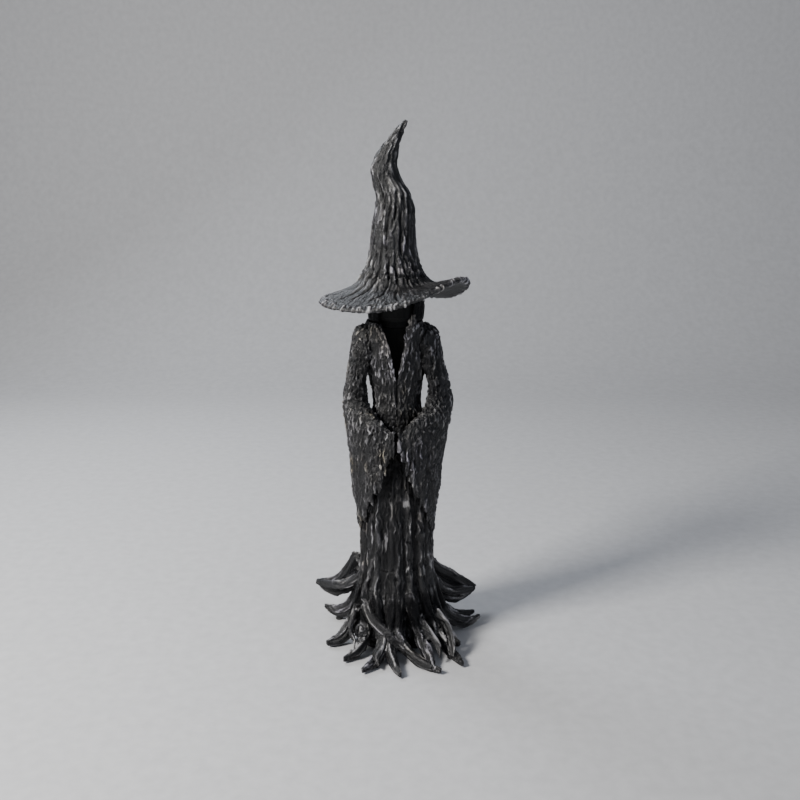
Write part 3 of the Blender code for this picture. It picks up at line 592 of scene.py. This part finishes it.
def bark_material(name, lift=1.0, warm=0.35, cool=0.35):
    """Near-black resin, grooves darkest, ridge tops dry-brushed silver grey; tone paints shade, darkening
    the paint and the specular.
    """
    mat, tree, bsdf = node_material(name)
    link = tree.links.new
    relief = add(tree, "ShaderNodeAttribute", attribute_name="relief").outputs["Fac"]
    tone = add(tree, "ShaderNodeAttribute", attribute_name="tone").outputs["Fac"]
    fine = grain_noise(tree, 1500.0, 0.28, 5.0, 0.62)
    broken = grain_noise(tree, 560.0, 0.30, 3.0, 0.6)
    patch = grain_noise(tree, 55.0, 0.6, 2.0, 0.5)
    drift = grain_noise(tree, 23.0, 0.8, 1.0, 0.5)
    height = weighted(tree, broken, 0.40, weighted(tree, fine, 0.34, relief))

    lifted = [(at, tuple(lift * part for part in colour)) for at, colour in BARK_STOPS[1:]]
    paint = ramp(tree, fac_ramp(tree, height, 0.50, 1.32, 0.0, 1.0), BARK_STOPS[:1] + lifted)
    olive = fac_ramp(tree, patch, 0.50, 0.68, 0.0, warm)
    violet = fac_ramp(tree, drift, 0.48, 0.66, 0.0, cool)
    paint = mix_colour(tree, olive, paint, (1.0, 0.86, 0.52), "MULTIPLY")
    paint = mix_colour(tree, violet, paint, (0.80, 0.76, 1.0), "MULTIPLY")
    # tone mixes the paint towards black: painted shade, and the black of the cracks
    link(mix_colour(tree, tone, paint, SHADE_AND_BLACK_PAINT), bsdf.inputs["Base Color"])
    link(fac_ramp(tree, height, 0.3, 1.2, 0.58, 0.32), bsdf.inputs["Roughness"])
    # painted shade: the specular is turned down where tone is dark
    link(fac_ramp(tree, tone, 0.0, 1.0, 0.5, 0.10), bsdf.inputs["Specular IOR Level"])

    bump = add(tree, "ShaderNodeBump", Strength=0.9, Distance=0.0008)
    link(weighted(tree, broken, 1.2, fine), bump.inputs["Height"])
    link(bump.outputs["Normal"], bsdf.inputs["Normal"])
    return mat


def grained(name, dark, light, metal=0.0, rough=(0.35, 0.5), scale=900.0, stretch=(1, 1, 1),
            bump=0.15):
    """General procedural finish: mottled colour, uneven gloss, fine bump."""
    mat, tree, bsdf = node_material(name)
    link = tree.links.new
    place = add(tree, "ShaderNodeTexCoord").outputs["Object"]
    scaled = add(tree, "ShaderNodeMapping", vector_type="POINT")
    scaled.inputs["Scale"].default_value = stretch
    link(place, scaled.inputs["Vector"])
    noise_node = add(tree, "ShaderNodeTexNoise", Scale=scale, Detail=4.0, Roughness=0.6)
    link(scaled.outputs["Vector"], noise_node.inputs["Vector"])
    link(ramp(tree, noise_node.outputs["Fac"], [(0.3, dark), (0.7, light)]), bsdf.inputs["Base Color"])
    gloss = fac_ramp(tree, noise_node.outputs["Fac"], 0.25, 0.75, rough[1], rough[0])
    link(gloss, bsdf.inputs["Roughness"])
    bsdf.inputs["Metallic"].default_value = metal
    node = add(tree, "ShaderNodeBump", Strength=bump, Distance=0.0002)
    link(noise_node.outputs["Fac"], node.inputs["Height"])
    link(node.outputs["Normal"], bsdf.inputs["Normal"])
    return mat


def repaint_drive():
    """Materials of the CAD nodes that stay."""
    finishes = {
        "void_black": grained("void_black", (0.0012,) * 3, (0.0022,) * 3, rough=(0.9, 1.0), scale=500.0),
        "black_abs": grained("black_abs", (0.012, 0.012, 0.013), (0.022, 0.022, 0.024),
                             rough=(0.4, 0.6), scale=2200.0, bump=0.3),
        "nylon": grained("nylon", (0.66, 0.63, 0.56), (0.80, 0.78, 0.72), rough=(0.35, 0.5), scale=600.0),
        "steel": grained("steel", (0.36, 0.37, 0.39), (0.62, 0.63, 0.65), 1.0, (0.25, 0.42),
                         scale=700.0, stretch=(1, 1, 9)),
        "brass": grained("brass", (0.52, 0.36, 0.12), (0.78, 0.58, 0.26), 1.0, (0.22, 0.4),
                         scale=700.0, stretch=(1, 1, 9)),
        "board_green": grained("board_green", (0.008, 0.09, 0.035), (0.02, 0.2, 0.08),
                               rough=(0.25, 0.4), scale=300.0),
        "cell_wrap": grained("cell_wrap", (0.02, 0.03, 0.09), (0.06, 0.08, 0.18),
                             rough=(0.15, 0.3), scale=200.0),
        "felt": grained("felt", (0.012,) * 3, (0.035,) * 3, rough=(0.9, 1.0), scale=2600.0, bump=0.8),
        "lead_red": grained("lead_red", (0.35, 0.015, 0.01), (0.5, 0.03, 0.02),
                            rough=(0.35, 0.5), scale=500.0),
        "lead_black": grained("lead_black", (0.01,) * 3, (0.02,) * 3, rough=(0.35, 0.5), scale=500.0),
        "bark_resin": grained("bark_plain", (0.01,) * 3, (0.03,) * 3, rough=(0.5, 0.7), scale=500.0)}
    for part in frame["record"]["subparts"]:
        node = frame["nodes"][part["node"]]
        finish = finishes[part["material_slot"]]
        for place in node.material_slots:
            place.material = finish


# ---- castings ----------------------------------------------------------------------------
def outward_share(obj, co):
    """Cosine between the skin's normal and the direction away from the figure's axis."""
    flat = normals(obj)[:, :2]
    return (flat * co[:, :2]).sum(1) / np.maximum(np.linalg.norm(co[:, :2], axis=1), 1.0)


def skirt_folds(co):
    """Folds that run from the waist down into the roots, about -1 to 1."""
    angle = np.degrees(np.arctan2(co[:, 1], co[:, 0]))
    sway = 3.0 * noise(np.stack([angle / 30.0, np.zeros(len(co)), co[:, 2] / 38.0], 1), 41)
    folds = np.zeros(len(co))
    for bearing, _, _, _ in ROOTS:
        turn = (angle + sway - bearing + 180.0) % 360.0 - 180.0
        folds = np.maximum(folds, np.exp(-(turn / 6.0) ** 2))
    return 2.0 * folds - 1.0


def skirt_surface(co, grain):
    """Relief, crack and broad fold of the skirt, shared by the robe halves and the root foot."""
    relief = bark(grain, 4.2, 19.0, 5, 0.6)
    crack = cracks(grain, 7.0, 70.0, 9)
    broad = noise(grain / np.array([9.0, 9.0, 90.0]), 21)
    fold = skirt_folds(co) * fall(co[:, 2], *FOLDS_FADE)
    return relief, crack, 0.9 * broad + 1.8 * fold


def front_shade(co):
    """Painted shade in the valley down the middle of the skirt and between the sleeves."""
    front = smoothstep(-co[:, 1], 8.0, 18.0)
    valley = 0.65 * np.exp(-((co[:, 0] + 1.0 + 2.5 * noise(co / 30.0, 43)) / 6.0) ** 2)
    valley *= band(co[:, 2], (30.0, 60.0), (185.0, 205.0))
    between = 0.75 * band(co[:, 2], (118.0, 160.0), (214.0, 222.0))
    return front * np.maximum(valley, between)


def skirt_tone(co, tone, broad):
    """Adds painted shade in the valleys between the folds and down the front to a tone; 1 is black."""
    valleys = 0.55 * smoothstep(-broad, 0.4, 1.6)
    return np.maximum(np.maximum(np.clip(tone, 0.0, 1.0), valleys), front_shade(co))


def close_joints(obj, sign):
    """Moves the edges of a robe half past its neighbours, so that no gap shows outside."""
    co = coords(obj)
    co[np.abs(co[:, 1]) < SPLIT_NEAR, 1] = -sign * SIDE_OVERLAP
    co[co[:, 2] < SEAM_Z + 0.1, 2] = SEAM_Z - FOOT_OVERLAP
    set_coords(obj, co)


def robe(node, sign, material):
    """Front (sign -1) or rear half of the robe, with the crease below the collar in front."""
    obj = copy_node(node, f"bark_{node}")
    close_joints(obj, sign)
    remesh(obj, BARK_VOXEL, 3)
    co = coords(obj)
    z = co[:, 2]
    grain = trunk_grain(co)
    short = bark(grain, 3.8, 11.0, 3, 0.75)
    long, crack, broad = skirt_surface(co, grain)
    chest = smoothstep(z, *SKIRT_TO_CHEST)
    relief = long * (1.0 - chest) + short * chest
    crack *= 1.0 - 0.8 * chest
    broad = broad * (1.0 - chest)
    crease = np.exp(-((co[:, 0] - CREASE_X) / CREASE_WIDTH) ** 2) * (co[:, 1] < 0)
    crease *= band(z, CREASE_FOOT, CREASE_TOP)
    outside = smoothstep(outward_share(obj, co), -0.1, 0.35)
    depth = 2.3 * (relief - LEVEL) - 1.2 * crack + broad - 1.3 * crease
    # tone: black in the cracks and along the crease, partly painted shade; painted shade on faces turned
    # inward, and skirt_tone adds painted shade in the fold valleys and down the front
    tone = skirt_tone(co, 0.75 * crack + 0.8 * crease + 0.9 * (1.0 - outside), broad)
    # painted shade on the collar top
    tone = np.maximum(tone, 0.95 * smoothstep(z, *COLLAR_PAINTED_SHADE))
    depth *= outside * fall(z, *COLLAR_CALM)
    finish_bark(obj, depth, relief, grain, tone, material, "figure", "bark_resin", node)


def edge_height(angle):
    """Height of a sleeve's lower edge."""
    return float(np.interp(angle, [row[0] for row in SLEEVE_EDGE], [row[1] for row in SLEEVE_EDGE]))


def sleeve_radius(angle, z):
    """Outer radius of the bell."""
    side = float(np.interp(z, BELL_HEIGHTS, BELL_SIDE))
    front = float(np.interp(z, BELL_HEIGHTS, BELL_FRONT))
    return side + (front - side) * min(max(angle, 0.0) / 85.0, 1.0) ** 0.8


def bell_point(sign, angle, z, inset):
    """Point just inside the bell's outer skin."""
    r = sleeve_radius(angle, z) - inset
    a = math.radians(angle)
    return (sign * r * math.cos(a), -r * math.sin(a), z)


def mouth_cutter(sign):
    """Hollow of the bell, open towards the front edge and the bottom."""
    rings = []
    for z in (96.0, 118.0, 136.0, 154.0, 172.0, 186.0, 193.0):
        first = 12.0 + max(0.0, z - 150.0) * 0.9
        angles = np.linspace(first, 97.0, 9)
        outer = [bell_point(sign, a, z, 2.5) for a in angles]
        inner = [(sign * 20.0 * math.cos(math.radians(a)), -20.0 * math.sin(math.radians(a)), z)
                 for a in angles[::-1]]
        rings.append(outer + inner)
    return loft("mouth", rings)


def drips(sign, seed):
    """Ragged strips hanging from the sleeve's lower edge."""
    rng = np.random.default_rng(seed)
    angle = 19.0
    parts = []
    while angle < 89.0:
        edge = edge_height(angle)
        steep = 1.0 + 0.8 * (angle > 60)
        length = rng.choice([2.0, 4.0, 7.0, 11.0], p=[0.25, 0.3, 0.25, 0.2]) * rng.uniform(0.8, 1.2)
        thick = rng.uniform(1.0, 1.7)
        lean = rng.uniform(-1.5, 1.5)
        stations = [(edge + 20.0, 1.3), (edge + 9.0, 1.1), (edge, 1.0), (edge - 0.6 * length, 1.2),
                    (edge - length, 1.6)]
        points = [bell_point(sign, angle + lean * k / 4.0, z, inset)
                  for k, (z, inset) in enumerate(stations)]
        parts.append(tube(points, (0.7 * thick, thick, 1.05 * thick, 0.8 * thick, 0.35), 7, 3))
        angle += rng.uniform(2.4, 4.2) * steep * 0.8
    return parts


def sleeve(node, sign, seed, strands, material):
    """Hollow bell sleeve with a ragged edge, drawn away from the robe at the waist."""
    obj = copy_node(node, f"bark_{node}")
    cut_away(obj, mouth_cutter(sign))
    absorb(obj, *drips(sign, seed))
    remesh(obj, FINE_VOXEL, 3)
    co = coords(obj)
    z = co[:, 2]
    gap = band(z, GAP_FOOT, GAP_TOP)
    co[:, 0] += sign * GAP_WIDENED * gap * fall(sign * co[:, 0], 28.0, 36.0)
    set_coords(obj, co)
    short = bark(co, 3.8, 10.0, 31 + seed, 0.75)
    long = bark(co, 4.2, 22.0, 33 + seed, 0.55)
    arm = smoothstep(z, *BELL_TO_ARM)
    relief = short * arm + (0.55 * short + 0.45 * long) * (1.0 - arm)
    crack = cracks(co, 7.0, 46.0, 35 + seed) * 0.8
    outer = outward_share(obj, co)
    raised = strand_lines(co, sign, strands, 0.75) * smoothstep(outer, 0.1, 0.5)
    # faces turned inward inside the bell: relief calmed there and painted in shade
    hidden = fall(outer, -0.45, -0.05) * fall(z, *BELL_TOP)
    # painted shade under the arm and in the crook of the arm
    arm_shade = 0.6 * gap * fall(outer, -0.3, 0.3)
    crook_shade = 0.55 * band(z, CROOK_FOOT, CROOK_TOP) * fall(sign * co[:, 0], 35.0, 42.0)
    arm_shade = np.maximum(arm_shade, crook_shade)
    skin = (2.3 * (relief - LEVEL) - 0.9 * crack) * (1.0 - 0.7 * hidden)
    depth = skin * (1.0 - 0.5 * raised) + 1.2 * raised
    relief = np.maximum(relief, 0.95 * raised)
    # tone: black in the cracks, partly painted shade; painted shade inside the bell, under the arm and in
    # the crook
    tone = np.clip(0.7 * crack * (1.0 - raised) + 0.95 * hidden + arm_shade, 0.0, 1.0)
    finish_bark(obj, depth, relief, co.copy(), tone, material, "figure", "bark_resin", node)


def twisted_lock(turn):
    """One strand of the lock beside the face."""
    points = [(x + 1.7 * math.cos(turn + z / 2.2), y + 0.9 * math.sin(turn + z / 2.2), z)
              for x, y, z in smooth_path(LOCK_RIGHT, 4)]
    return tube(points, (1.6, 2.2, 2.3, 2.1, 1.3), 8, 2)


def lapel(node, sign, seed, material):
    """Thin curled collar edge; the viewer's-right one ends in a twisted lock beside the face."""
    obj = copy_node(node, f"bark_{node}")
    if sign > 0:
        absorb(obj, twisted_lock(0.0))
        absorb(obj, twisted_lock(math.pi))
    else:
        absorb(obj, tube(CURL_LEFT, (1.6, 2.3, 1.9, 1.0), 8, 3))
    remesh(obj, THIN_VOXEL, 3)
    co = coords(obj)
    relief = bark(co, 2.6, 7.0, seed, 0.6)
    # crest is the share of the skin facing the front: those faces are painted lighter, a painted
    # highlight, and the others darker, painted shade
    crest = smoothstep(-normals(obj)[:, 1], 0.2, 0.7)
    near_hood = smoothstep(co[:, 2], 292.0, 294.0) * (np.hypot(co[:, 0], co[:, 1]) < 25.6)
    depth = (relief - 0.5) * (1.0 - near_hood)
    relief_with_painted_light = 0.1 + 0.6 * relief + 0.35 * crest
    finish_bark(obj, depth, relief_with_painted_light, co.copy(), 0.15 * (1.0 - crest), material, "figure", "bark_resin", node)


def crumbled_rim(co, bearing, radius):
    """Lumps round the edge of the brim, 0 to 1."""
    turn = np.radians(bearing)
    spokes = np.stack([BRIM_R * np.cos(turn), BRIM_R * np.sin(turn), radius], 1)
    knobs = 0.5 + 0.5 * noise(co / 2.6, 59)
    return np.clip(0.65 * bark(spokes, 3.6, 8.0, 57, 0.35) + 0.55 * knobs, 0.0, 1.0)


def hat_cracks(co, grain, bearing, radius, brim):
    """Placed cracks, finer ones on the crown and a broken groove inside the rim."""
    from_crown = np.hypot(co[:, 0] - crown_centre(co[:, 2]), co[:, 1])
    placed = placed_lines(grain[:, 2], bearing, from_crown, HAT_CRACKS, 0.95, 55)
    fine = 0.7 * cracks(grain, 6.2, 46.0, 55, 0.05) * (1.0 - brim)
    groove = np.exp(-((radius - RIM_GROOVE_R) / 1.1) ** 2) * smoothstep(noise(co / 9.0, 58), -0.3, 0.2)
    return np.maximum(np.maximum(placed, fine), 0.8 * groove)


def hat(material):
    """Crown with placed cracks, brim with flowing grain, a crumbled rim and a smooth underside in painted
    shade.
    """
    obj = copy_node("hat", "bark_hat")
    soft = obj.modifiers.new("round", "SUBSURF")
    soft.levels = soft.render_levels = 1
    baked(obj)
    remesh(obj, BARK_VOXEL, 3)
    co = coords(obj)
    grain = hat_grain(co)
    bearing = np.degrees(np.arctan2(co[:, 1], co[:, 0] - crown_centre(co[:, 2])))
    radius = np.hypot(co[:, 0] + 0.6, co[:, 1] / 0.94)
    brim = smoothstep(radius, *CROWN_TO_BRIM)
    under = fall(normals(obj)[:, 2], -0.5, 0.0) * brim
    rim = smoothstep(radius, BRIM_R - 7.0, BRIM_R - 4.0)
    tall = bark(grain, 3.8, 24.0, 51, 0.6)
    wide = bark(grain * np.array([1.6, 1.6, 1.0]), 4.0, 13.0, 53, 0.6)
    relief = tall * (1.0 - brim) + (0.62 * wide + 0.14) * brim
    crumbs = crumbled_rim(co, bearing, radius)
    crack = hat_cracks(co, grain, bearing, radius, brim) * (1.0 - under)
    skin = (1.9 - 0.7 * brim) * (relief - LEVEL) - 1.6 * crack
    smooth_part = under * (1.0 - rim)
    depth = (skin * (1.0 - rim) + 2.2 * (crumbs - 0.5) * rim) * (1.0 - 0.9 * smooth_part)
    depth *= smoothstep(radius, *SOCKET_R) + (co[:, 2] > SOCKET_Z)
    relief = relief * (1.0 - rim) + (1.15 * crumbs - 0.05) * rim
    # less dry-brush and a darker tone under the brim: painted shade; the cracks black, partly painted
    # shade
    relief *= 1.0 - 0.6 * smooth_part
    tone = np.clip(0.95 * crack * (1.0 - rim) + 0.8 * smooth_part, 0.0, 1.0)
    depth = np.clip(depth, -2.2, 1.6)
    finish_bark(obj, depth, relief, grain, tone, material, "head", "bark_resin", "hat")


def hood(material):
    """Dark hood; its inside and its lower edge stay smooth, so it turns clear of the collar."""
    obj = copy_node("hood", "bark_hood")
    remesh(obj, FINE_VOXEL, 2)
    co = coords(obj)
    grain = trunk_grain(co)
    relief = bark(grain, 3.8, 12.0, 61, 0.5)
    outer = smoothstep(np.hypot(co[:, 0], co[:, 1]), 19.0, 22.5)
    depth = (relief - 0.6) * outer * smoothstep(co[:, 2], 295.0, 298.0)
    # near black all over; the inside fully black, painted shade
    tone = 0.93 + 0.07 * (1.0 - outer)
    finish_bark(obj, depth, relief * 0.8, grain, tone, material, "head", "bark_resin", "hood")


def web(upper, lower, thick):
    """Thin sheet between two edge lines, hollowed towards the back; its thickness is square to its run."""
    top, bottom = smooth_path(upper, 4), smooth_path(lower, 4)
    run = top[-1] - top[0]
    lean = np.array([run[1], -run[0], 0.0]) / math.hypot(run[0], run[1])
    lean *= -math.copysign(thick / 2, lean[1])
    rings = []
    for a, b in zip(top, bottom):
        middle = 0.5 * (a + b) - lean * 2.2
        rings.append([a + lean, middle + lean, b + lean, b - lean, middle - lean, a - lean])
    return loft("web", rings)


def root_extras():
    """Webs of the raised side roots, the root crossing in front, a knot loop and side strands."""
    parts = [web(FIN_L, RIDGE_L, 3.4), web(FIN_R, RIDGE_R, 2.8),
             tube(RIDGE_L, (3.4, 3.6, 3.4, 3.0, 2.2)), tube(FIN_L, (1.4, 1.7, 1.6, 1.6, 1.8)),
             tube(BED_L, (2.8, 3.2, 3.2, 2.8, 1.8)),
             tube(RIDGE_R, (3.4, 3.4, 3.0, 2.8, 2.2)), tube(FIN_R, (1.4, 1.6, 1.6, 1.6, 1.8)),
             tube(KNOT, (1.25,) * 13, 8, 2), tube(CROSSING, (3.4, 3.9, 3.6, 2.8, 1.6))]
    return parts + [tube(line, radii) for line, radii in SIDE_STRANDS]


def thin_side(co, spread):
    """1 on the webs at the figure's sides, where cracks would go right through."""
    beside = smoothstep(np.abs(co[:, 0]), 30.0, 34.0)
    return smoothstep(spread, 1.6, 2.6) * beside * smoothstep(co[:, 2], *WEB_Z)


def knot_distance(co, back=0.0):
    """Distance from the middle of the knot loop, or from a point behind it, mm."""
    return np.linalg.norm(co - np.mean(KNOT, axis=0) - [0.0, back, 0.0], axis=1)


def root_lines():
    """Centre lines that the grain of the roots follows."""
    extras = [RIDGE_L, FIN_L, RIDGE_R, FIN_R, CROSSING, KNOT]
    return [root_points(*root) for root in ROOTS] + extras + [line for line, _ in SIDE_STRANDS]


def sharp_back(back):
    """Crest along the top of a root and hollowed flanks, mm; back is 1 on top and 0 at the sides."""
    return 1.7 * smoothstep(back, 0.72, 1.0) - 0.9 * smoothstep(1.0 - np.abs(back), 0.3, 0.9)


def roots(material):
    """Root foot: sharp-backed roots with strands, webs and knots; painted shade in the hollows and on the
    webs, painted highlight along the root tops.
    """
    obj = copy_node("root_foot", "bark_root_foot")
    absorb(obj, *root_extras())
    remesh(obj, ROOT_VOXEL, 3)
    co = coords(obj)
    z = co[:, 2]
    flat = np.hypot(co[:, 0], co[:, 1])
    strand, to_end = root_grain(co, root_lines())
    trunk = trunk_grain(co)

    # what each point belongs to
    raised = smoothstep(flat, *TRUNK_R)
    upper = smoothstep(z, *ROOTS_TO_SKIRT) * (1.0 - raised)
    tips = smoothstep(flat, *TIPS_R)
    spread = np.maximum(np.hypot(strand[:, 0], strand[:, 1]), 0.5)
    back = strand[:, 1] / spread
    knot = np.exp(-((knot_distance(co) - 6.0) / 5.0).clip(0.0) ** 2)
    hollow = (flat < 34.0) & (outward_share(obj, co) < 0.0)
    sheet = smoothstep(spread, 3.6, 5.4) * raised * smoothstep(z, *WEB_Z)
    # painted shade round the foot of the trunk, under the roots
    core_shade = fall(flat, 40.0, 46.0) * fall(z, 14.0, 34.0)

    skirt, crack, broad = skirt_surface(co, trunk)
    relief = skirt * upper + bark(strand, 3.4, 30.0, 71, 0.45) * (1.0 - upper)
    crack = crack * upper + cracks(strand, 4.6, 60.0, 75, 0.08) * (1.0 - upper)
    broad = broad * upper
    sharp = sharp_back(back) * (1.0 - upper) * (1.0 - knot) * (1.0 - 0.5 * tips)
    skin = (2.0 * (relief - LEVEL) - 1.1 * crack) * (1.0 - 0.7 * knot) * (1.0 - 0.6 * tips)
    taper = 0.45 * np.minimum(spread, 5.0) * np.exp(-(to_end / 6.0) ** 2) * smoothstep(flat, 48.0, 58.0)
    depth = (skin + broad + sharp - taper) * smoothstep(z, *SOLE_Z) * (~hollow)
    depth = np.clip(depth, -3.5 + 3.4 * thin_side(co, spread), 3.0 - 2.2 * sheet)

    # tone: black in the cracks, partly painted shade; painted shade in the hollows, on the webs, round the
    # foot and inside the knot loop
    tone = skirt_tone(co, 0.75 * crack + 0.9 * hollow + 0.6 * core_shade + 0.97 * sheet, broad)
    tone = np.maximum(tone, 0.97 * np.exp(-(knot_distance(co, 2.0) / 3.2) ** 2))
    # tops of the roots and the knot loop painted lighter: painted highlight
    relief = relief + 0.25 * smoothstep(back, 0.75, 1.0) * (1.0 - upper) + 0.2 * knot
    relief = np.clip(relief, 0.0, 1.0)
    grain = np.where((upper > 0.5)[:, None], trunk, strand)
    finish_bark(obj, depth, relief, grain, tone, material, "figure", "bark_resin", "root_foot")


# ---- stage -------------------------------------------------------------------------------
def stage():
    """Pale floor that sweeps up into a plain wall, and soft light from the viewer's left."""
    bend = [(WALL_START + WALL_BEND * math.sin(a), WALL_BEND - WALL_BEND * math.cos(a))
            for a in np.linspace(0.2, math.pi / 2, 9)]
    profile = [(-FLOOR_REACH, 0.0), (WALL_START, 0.0)] + bend + [(WALL_START + WALL_BEND, WALL_TOP)]
    verts = [(x, y, z) for y, z in profile for x in (-FLOOR_HALF_WIDTH, FLOOR_HALF_WIDTH)]
    faces = [(2 * k, 2 * k + 1, 2 * k + 3, 2 * k + 2) for k in range(len(profile) - 1)]
    mesh = bpy.data.meshes.new("floor")
    mesh.from_pydata(verts, [], faces)
    for poly in mesh.polygons:
        poly.use_smooth = True
    floor = bpy.data.objects.new("floor", mesh)
    bpy.context.scene.collection.objects.link(floor)
    mat, tree, bsdf = node_material("floor_pale")
    grit = add(tree, "ShaderNodeTexNoise", Scale=90.0, Detail=4.0)
    tree.links.new(add(tree, "ShaderNodeTexCoord").outputs["Object"], grit.inputs["Vector"])
    pale = ramp(tree, grit.outputs["Fac"], [(0.3, (0.50, 0.50, 0.51)), (0.7, (0.56, 0.56, 0.57))])
    tree.links.new(pale, bsdf.inputs["Base Color"])
    bsdf.inputs["Roughness"].default_value = 0.85
    mesh.materials.append(mat)

    world = bpy.data.worlds.new("studio")
    world.use_nodes = True
    sky = world.node_tree.nodes["Background"]
    sky.inputs["Color"].default_value = (0.62, 0.66, 0.74, 1.0)
    sky.inputs["Strength"].default_value = 0.30
    bpy.context.scene.world = world
    for light in LIGHTS:
        area(*light)


def area(name, place, size, power, colour):
    """Soft square light aimed at the figure."""
    light = bpy.data.lights.new(name, "AREA")
    light.size = size
    light.energy = power
    light.color = colour
    obj = bpy.data.objects.new(name, light)
    obj.location = place
    obj.rotation_euler = (Vector(LIGHTS_AIM) - Vector(place)).to_track_quat("-Z", "Y").to_euler()
    bpy.context.scene.collection.objects.link(obj)


def camera():
    data = bpy.data.cameras.new("camera")
    data.sensor_width = CAMERA_SENSOR
    data.lens = CAMERA_LENS
    obj = bpy.data.objects.new("camera", data)
    obj.location = CAMERA_PLACE
    obj.rotation_euler = (math.radians(90.0 - CAMERA_DOWN), 0.0, 0.0)
    bpy.context.scene.collection.objects.link(obj)
    bpy.context.scene.camera = obj


def main():
    camera()
    stage()
    repaint_drive()
    robe_bark = bark_material("robe_bark", 1.0, 0.45, 0.35)
    left_bark = bark_material("left_sleeve_bark", 1.0, 0.75, 0.2)
    # the right sleeve's copy is darker and cooler: painted shade
    right_shaded_bark = bark_material("right_sleeve_shaded_bark", 0.95, 0.25, 0.6)
    hat_bark = bark_material("hat_bark", 1.05, 0.3, 0.45)
    root_bark = bark_material("root_bark", 1.0, 0.3, 0.45)
    robe("robe_front", -1, robe_bark)
    robe("robe_rear", 1, robe_bark)
    sleeve("sleeve_left", -1, 3, STRANDS_LEFT, left_bark)
    sleeve("sleeve_right", 1, 4, STRANDS_RIGHT, right_shaded_bark)
    lapel("lapel_left", -1, 81, robe_bark)
    lapel("lapel_right", 1, 83, robe_bark)
    hat(hat_bark)
    hood(hat_bark)
    roots(root_bark)


main()
